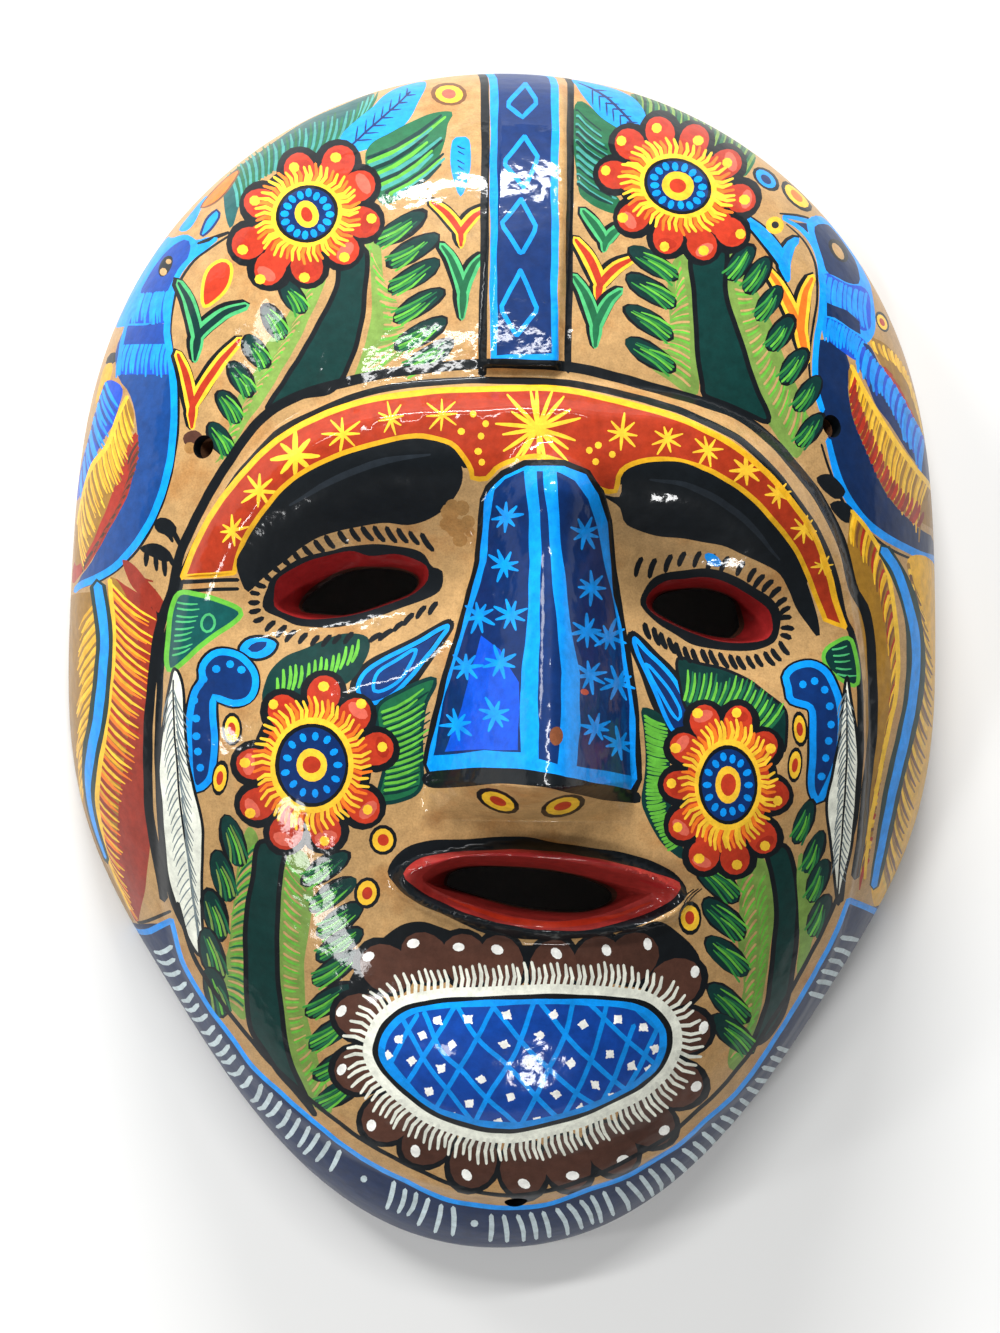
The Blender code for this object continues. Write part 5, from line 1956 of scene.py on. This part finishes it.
    def left(self, canvas: Canvas) -> None:
        """Paints the left cheek."""
        canvas.outlined("176,597 198,595 242,613 205,642 170,671 168,640", Hue.TEAL_DARK, Hue.BRIGHT_LEAF, 5.0)
        canvas.comb("178,602 176,625 173,655", (20, 2), (16, -6), 9, 2.0, Hue.MINT)
        canvas.loop(oval((208, 623), (6.4, 9.5), 10.0, 12), 2.6, Hue.MINT, 4.0, False)
        draw(canvas, self.left_rows)
        Flower((312, 765), (35, 40), "324,693 284,712 354,716 376,749 363,806 325,831 286,832 258,804 254,764", 18.5,
               "324,686 273,704 361,704 382,747 367,810 324,841 250,813 245,763", (15, 17), (9, 9), 0.0, 58, 13,
               1.66).paint(canvas)
        Bead((383, 840), (14, 15)).paint(canvas)
        Bead((367, 893), (13, 16), 10.0).paint(canvas)

    def right(self, canvas: Canvas) -> None:
        """Paints the right cheek."""
        draw(canvas, self.right_rows)
        Flower((728, 785), (28, 38), "705,722 738,722 686,748 762,748 680,785 772,795 685,824 762,837 704,855 735,858",
               17.0, "698,713 736,713 676,748 771,748 671,784 778,801 678,827 765,846 699,859 737,865", (13, 19),
               (7.5, 11.5), 0.0, 58, 14, 1.72).paint(canvas)

    def paint(self, canvas: Canvas) -> None:
        """Lays on the paint."""
        self.left(canvas)
        self.right(canvas)


@dataclass(frozen=True)
class Chin:
    """The latticed boss under the mouth, in a fringe and a row of scallops."""

    outline: str = ("376,1050 385,1026 406,1008 430,1002 460,999 540,996 613,998 641,1003 656,1012 667,1026"
                    " 669,1039 667,1055 658,1071 644,1084 626,1096 578,1117 524,1130 500,1131 476,1128 452,1121"
                    " 430,1112 396,1085 382,1069")
    scallops: str = ("524,1181 572,1174 621,1158 661,1129 693,1086 700,1028 692,974 645,946 605,952 556,956 498,952"
                     " 460,949 415,946 371,958 345,1012 345,1070 374,1124 417,1149 468,1173")
    marks: str = ("330,520 420,505 475,450 590,445 735,430 910,430 1020,465 1150,445 1245,475 290,580 380,600 490,630"
                  " 725,540 860,505 975,610 1120,575 1200,620 1290,555 1265,635 340,685 445,715 640,670 750,735 920,725"
                  " 1065,690 1130,735 1010,780 595,760 400,750 530,810 705,830 850,825 820,610 530,540")
    falling: str = ("350,450 430,600 520,720 625,850|425,420 490,560 570,640 660,740 785,850|545,390 630,525 740,620"
                    " 850,740 945,830|680,390 790,530 900,640 1000,725 1095,785|850,370 960,510 1040,590 1130,670"
                    " 1200,720|1030,375 1180,520 1285,610|265,560 365,690 470,800|1190,380 1320,500")
    rising: str = ("400,430 335,540 280,660|545,390 440,560 330,730|690,390 600,560 510,710 450,810|840,370 780,540"
                   " 730,630 660,740 600,860|985,375 950,510 890,630 840,740 775,860|1110,380 1060,570 1010,690"
                   " 925,850|1210,470 1130,680 1060,800|1310,450 1230,620 1160,740")
    middle: Place = (522.0, 1062.0)
    zoom: float = 3.733
    corner: Place = (310.0, 900.0)

    def paint(self, canvas: Canvas) -> None:
        """Lays on the paint."""
        middle, corner = np.array(self.middle), np.array(self.corner)
        outline = curve(self.outline, 6.0, closed=True)
        for spot in places(self.scallops):
            out = spot - middle
            tilt = math.degrees(math.atan2(out[1], out[0]))
            canvas.lay(oval(spot - out * 0.09, (33, 28), tilt, 18), Hue.BLACK)
        canvas.fill("420,922 480,940 556,946 620,938 660,922 700,960 660,990 560,975 440,975 350,990 380,940",
                    Hue.BLACK)
        for spot in places(self.scallops):
            out = spot - middle
            tilt = math.degrees(math.atan2(out[1], out[0]))
            canvas.lay(oval(spot - out * 0.10, (28, 23.5), tilt, 16), Hue.BROWN, spread=0.22)
            canvas.lay(oval(spot + out * 0.02, (4.6, 6.4), tilt + 30.0, 10), Hue.WHITE, spread=0.04)
        canvas.lay(outline, Hue.CHIN_BLUE)
        for family in (self.falling, self.rising):
            for line in family.split("|"):
                canvas.stroke(places(line) / self.zoom + corner, 4.8, Hue.SKY, (0.9, 0.9), 7.0)
        for spot in places(self.marks) / self.zoom + corner:
            Star((float(spot[0]), float(spot[1])), 5.0, Hue.WHITE, 4, 4.4).paint(canvas)
        inner = middle + (outline - middle) * np.array([0.968, 0.94])
        canvas.loop(inner, 9.0, Hue.SKY, 6.0, False)
        canvas.loop(middle + (outline - middle) * 1.005, 6.0, Hue.BLACK, 6.0, False)
        ring = middle + (outline - middle) * np.array([1.055, 1.10])
        canvas.loop(ring, 9.5, Hue.CREAM, 6.0, False)
        ring = even_steps(middle + (outline - middle) * np.array([1.07, 1.13]), 6.5, True)
        along = np.roll(ring, -1, axis=0) - np.roll(ring, 1, axis=0)
        out = np.column_stack([-along[:, 1], along[:, 0]]) / np.hypot(*along.T)[:, None]
        out = np.where(((ring - middle) * out).sum(axis=1)[:, None] < 0.0, -out, out)
        for root, run in zip(ring, out):
            run = run * canvas.hand.uniform(19.0, 26.0) + canvas.hand.uniform(-1.5, 1.5, 2)
            bend = np.array([-run[1], run[0]]) * 0.10
            canvas.stroke([root, root + run / 2.0 + bend, root + run], 3.7, Hue.CREAM, (1.0, 0.55), 10.0)


@dataclass(frozen=True)
class JawBand:
    """The navy band along the jaw, with its row of pale strokes."""

    upper: str = ("171,921 184,964 204,1000 230,1036 255,1069 286,1097 324,1130 362,1158 400,1178 446,1199 490,1207"
                  " 520,1208 551,1203 589,1190 622,1178 653,1161 679,1145 704,1122 730,1099 755,1069 775,1038 793,1010"
                  " 814,974 832,941 844,913 849,900")
    line: str = ("178,903 190,948 212,988 240,1026 268,1060 300,1091 335,1120 372,1146 412,1167 455,1186 500,1195"
                 " 548,1191 585,1179 618,1165 648,1149 672,1133 698,1110 722,1087 747,1057 767,1028 785,1000 805,965"
                 " 822,932 838,896")
    middle: Place = (510.0, 760.0)
    depth: float = 1.30
    places_along: float = 38.0
    groups: tuple[tuple[int, int], ...] = ((1, 12), (14, 17), (18, 32), (34, 37))

    def paint(self, canvas: Canvas) -> None:
        """Lays on the paint."""
        upper = curve(self.upper, 8.0)
        middle = np.array(self.middle)
        lower = middle + (upper - middle) * self.depth
        canvas.lay(np.vstack([upper, lower[::-1]]), Hue.JAW_NAVY, unsteady=0.0)
        canvas.stroke(upper, 4.6, Hue.SKY, (1.0, 1.0), 8.0)
        for end in (upper[0], upper[-1]):
            far = middle + (end - middle) * self.depth
            canvas.stroke([end, far], 6.5, Hue.SKY, (1.0, 1.0))
        canvas.stroke(self.line, 4.2, Hue.BLACK, (0.9, 0.9), 8.0)
        canvas.stroke("136,926 153,919 170,911", 3.6, Hue.BLACK)
        path = curve(self.upper, 1.0)
        steps = len(path) / self.places_along
        for first, last in self.groups:
            for number in range(first * 2, last * 2):
                at = int(min(number / 2.0 * steps, len(path) - 3))
                along = path[at + 2] - path[at]
                along /= math.hypot(*along)
                out = np.array([-along[1], along[0]])
                tall = 1.0 + 0.30 * math.sin(math.pi * at / len(path)) ** 2
                root = path[at] + out * canvas.hand.uniform(6.5, 8.5)
                run = out * canvas.hand.uniform(17.0, 22.0) * tall
                run += along * (3.0 + 2.5 * math.sin(at * 0.11) + canvas.hand.uniform(-0.7, 0.7))
                bend = along * canvas.hand.uniform(0.6, 2.4)
                canvas.stroke([root, root + run * 0.5 + bend, root + run], 5.0, Hue.MIST, (0.8, 0.6), 8.0)
        for at in (12.6, 17.4):
            canvas.dot(path[round(at * steps)] + np.array([-3.0, 18.0]), 3.6, Hue.MIST)


@dataclass(frozen=True)
class Birds:
    """A long-tailed bird down each side."""

    left: str = """
dot BLACK 7: 110,357
fill GOLD: 98,366 110,362 112,372 104,390 92,400
fill BIRD_BLUE 8: 150,300 118,340 118,375 127,389 134,411 138,438 138,456 131,483 114,519 91,562 70,589 92,584 115,569
138,544 156,511 168,474 174,438 175,402 172,374 168,340
fill SKY: 110,318 120,290 130,268 146,246 163,228 171,236 188,235 197,240 207,237 217,238 206,247 194,256 182,269
174,285 170,301 168,316 140,326
fill CHIN_BLUE: 141,292 157,261 172,247 186,240 190,247 185,263 173,280 164,294
shape ROYAL 8: 139,294 169,292 165,323 129,324
comb SKY -7 30 -3 30 13 3: 139,294 169,292
shape ROYAL 8: 124,344 169,344 171,374 118,374
comb SKY -7 30 -3 30 13 3: 124,344 169,344
shape CHIN_BLUE 8: 128,325 165,324 168,343 122,345
stroke SKY 4: 136,301 126,325 121,351 119,374
spot BLACK 11.5 6 -62 14: 166,266.5
dot TAN 4: 163.3,271.8
dot TAN 2.7: 168.6,261.5
stroke BLACK 4 0.5 0.6: 198,243 214,238 229,233
stroke BLACK 3 0.6 0.6 7: 228,236 208,250 196,259 185,272 177,288 173,304 170,330 172,346 175,374 178,402 177,438
171,475 159,512 141,545 118,570 94,585
stroke SKY 7 0.5 1 7: 216,239 204,248 192,257 181,270 173,286 170,301 167,329 169,346 172,374 174,402 173,438 167,474
155,510 137,542 115,566 92,580 70,589
fill ROYAL: 107,380 122,388 118,407 114,422 98,449 89,469 74,492 60,492 66,470 87,431 98,398
comb SKY+CHIN_BLUE+SKY 13 26 8 30 22 3.4: 105,382 98,398 87,431 72,470
fill RED: 136,432 139,445 136,467 127,496 114,521 100,546 82,572 66,582 60,570 80,540 100,500 124,450
comb DARK_RED+BROWN -9 20 -10 20 24 2.4: 137,436 138,456 128,488 112,520 92,552
fill GOLD_BROWN: 126,396 134,411 132,431 127,447 121,463 117,474 112,492 102,519 91,544 80,562 66,560 66,520 76,500
90,468 107,444 118,416
comb YELLOW+GOLD_BROWN+GOLD 10 32 12 44 50 2.9 0.9 0.3: 125,400 118,416 107,445 90,468 76,500 70,520
stroke YELLOW 4.6 0.6 0.9: 127,397 118,416 107,445 90,469 76,501 70,520
fill BLACK: 154,523 160,517 170,519 177,530 170,535 158,532; 139,548 148,543 160,544 171,552 168,562 156,558 146,554
stroke BLACK 5.4 0.8 0.4: 170,528 176,536 180,546; 160,528 170,536 172,541; 147,552 146,566; 156,556 157,570; 164,556
165,575; 168,553 175,567
spot BROWN 12 10 20 14 2.2: 195,440
chip DEEP_TAN 6 9: 190,448
shape GOLD_BROWN 10: 60,592 98,592 104,634 103,669 98,715 90,756 84,795 90,832 98,862 130,925 100,960 40,900 40,600
comb GOLD+GOLD_BROWN+YELLOW -26 34 -20 34 50 3.2: 104,596 104,640 100,690 92,740 86,790
fill DARK_RED: 110,582 126,586 150,600 162,610 152,669 149,715 148,761 150,807 149,853 144,898 134,926 122,900 106,864
98,818 98,784 104,738 110,692 113,646
fill GOLD_BROWN: 108,580 124,590 138,640 132,700 124,760 118,820 116,860 106,864 98,818 98,784 104,738 110,692 113,646
comb YELLOW+RED+GOLD+ORANGE+DARK_RED 40 32 14 20 84 3 0.9 0.25: 111,584 114,646 109,700 100,760 98,815 108,864 124,905
stroke YELLOW 4.6 0.8 0.5: 110,580 114,646 110,692 104,738 98,784 99,818 108,864 127,912
comb DARK_RED+BLACK 22 8 6 26 8 3: 128,572 142,588 158,612
fill DARK_RED: 122,560 134,566 150,584 164,604 158,612 144,598 130,582
stroke DEEP_GREEN 18 0.8 0.5 8: 98,586 104,634 103,669 98,715 90,756 87,795 93,832 103,862
stroke SKY 9 0.9 0.4 8: 98,586 104,634 103,669 98,715 90,756 87,795 93,832 102,860
"""
    right: str = """
fill GOLD_BROWN: 869,338 881,341 893,351 904,366 912,385 919,408 926,428 940,460 920,440 900,404 884,372
comb GOLD+YELLOW 5 12 4 20 20 2.6: 870,340 892,352 908,376 920,412
comb RED 8 8 4 14 12 4 0.9 0.6: 884,368 900,392 918,428
fill JAW_NAVY 8: 816,340 840,345 850,364 848,390 853,416 862,440 875,470 887,494 902,512 916,526 936,540 940,562
898,546 876,531 856,511 842,487 833,460 828,440 820,408 816,389 815,366
fill SKY: 808,221 817,216 828,218 844,230 858,252 868,276 874,301 874,332 866,344 860,338 824,334 820,300 818,262
813,244
fill JAW_NAVY: 814,227 828,224 841,236 853,256 859,274 858,284 846,282 837,277 828,272 823,259 817,244
spot BLACK 13.5 7 55 14: 838,250
spot TAN 10 3.6 55 12: 838,251
fill ROYAL: 824,273 837,278 849,284 862,286 869,296 871,312 870,330 860,330 859,322 846,311 829,303 823,302
comb SKY -2 26 2 34 15 3: 826,276 846,286 866,294
shape JAW_NAVY 8: 827,303 846,311 860,322 861,335 849,328 834,318 827,316
fill ROYAL: 823,318 837,322 853,332 866,344 864,358 855,360 839,348 825,336
comb SKY -1 20 -6 20 13 3.4: 826,318 846,328 866,344
stroke SKY 4.4 0.5 0.9: 783,216 797,218 809,221 817,217
shape JAW_NAVY 6: 794,222 808,223 808,236 801,230
stroke SKY 3.6: 808,222 812,240
stroke BLACK 2.4 0.5 0.6: 780,213 796,215 808,218
stroke SKY 6.4 0.4 0.8 7: 784,218 800,228 812,242 819,258 822,276 823,294 821,315 817,338 815,364 817,390 822,410
stroke BLACK 2.6 0.4 0.6 7: 786,224 800,236 810,250 816,268 817,296 814,320 810,350 810,376 813,396
bead YELLOW+FLOWER_RED+BLACK 11 5.5 66: 882,322
fill NAVY: 860,345 869,345 884,371 898,391 912,416 924,438 940,470 930,484 916,464 902,442 890,424 878,408 867,383
856,362
comb SKY+ROYAL+SKY -3 24 -3 30 30 4.4: 862,345 884,372 898,392 912,417 924,440
fill GOLD_BROWN: 850,366 866,392 881,417 899,444 917,469 934,492 940,530 920,522 902,512 887,494 875,470 862,440
853,416 848,390
comb GOLD+YELLOW+GOLD_BROWN -3 34 -8 50 48 2.6 0.9 0.3: 854,370 866,393 880,418 898,445 916,470 928,487
comb RED+DARK_RED 5 -15 6 -16 30 4: 850,392 854,417 863,441 876,471 888,494 903,512 918,526
stroke YELLOW 4.6 0.7 0.9: 851,366 866,393 880,418 898,445 916,470 932,488
stroke SKY 7.4 0.7 1 7: 828,440 833,460 842,487 856,510 876,530 898,544 922,555 940,560
stroke BLACK 3 0.6 0.6 7: 822,444 828,466 838,492 852,516 872,536 894,551 920,562
fill BLACK: 816,478 827,474 838,480 846,492 838,500 828,494 820,487; 830,504 842,500 852,508 854,521 844,523 836,515
fill GOLD_BROWN: 852,511 867,530 880,551 888,573 894,608 898,646 896,692 887,738 878,784 869,830 864,884 864,830
866,784 866,738 866,692 864,646 858,612 852,570 848,547
comb YELLOW+GOLD+CLAY+GOLD_BROWN+RED -3 30 -8 26 80 3 0.9 0.25: 854,514 868,534 881,560 890,600 897,650 894,700
880,780 868,860
stroke YELLOW 4.4 0.8 0.5: 852,511 867,530 880,551 888,573 894,608 898,646 896,692 887,738 878,784 869,830 865,878
fill GOLD: 907,560 930,560 950,600 950,720 920,830 884,915 872,890 880,860 896,784 908,738 917,692 919,646 913,600
comb GOLD_BROWN+YELLOW+CLAY 12 34 8 26 56 3: 908,564 919,620 920,690 908,750 896,810 882,870
stroke DEEP_GREEN 19 0.6 0.4 8: 884,550 898,573 910,606 916,646 914,692 905,738 894,784 885,830 874,886
stroke SKY 9 0.8 0.5 8: 884,550 898,573 909,606 916,646 914,692 905,738 894,784 885,830 874,886
"""

    def paint(self, canvas: Canvas) -> None:
        """Lays on the paint."""
        draw(canvas, self.left)
        draw(canvas, self.right)


PAINTERS = (Birds(), Forehead(), BrowBand(), Cheeks(), Nose(), EyesAndMouth(), Chin(), JawBand())


def main() -> None:
    """Builds the mask, its finishes, the floor, the lights and the camera."""
    logging.basicConfig(level=logging.INFO, format="%(name)s: %(message)s")
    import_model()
    view = Viewpoint()
    view.camera()
    shell = PaintedShell(view=view)
    for painter in PAINTERS:
        painter.paint(shell.canvas)
    mask = shell.build()
    mask.data.materials.append(PaintFinish().material())
    mask.data.materials.append(ClayFinish().material())
    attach(mask, "root")
    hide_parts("mask")
    LOG.info("rides on root: %s", mask.name)
    studio = Studio()
    studio.floor()
    studio.light()


if __name__ == "__main__":
    main()
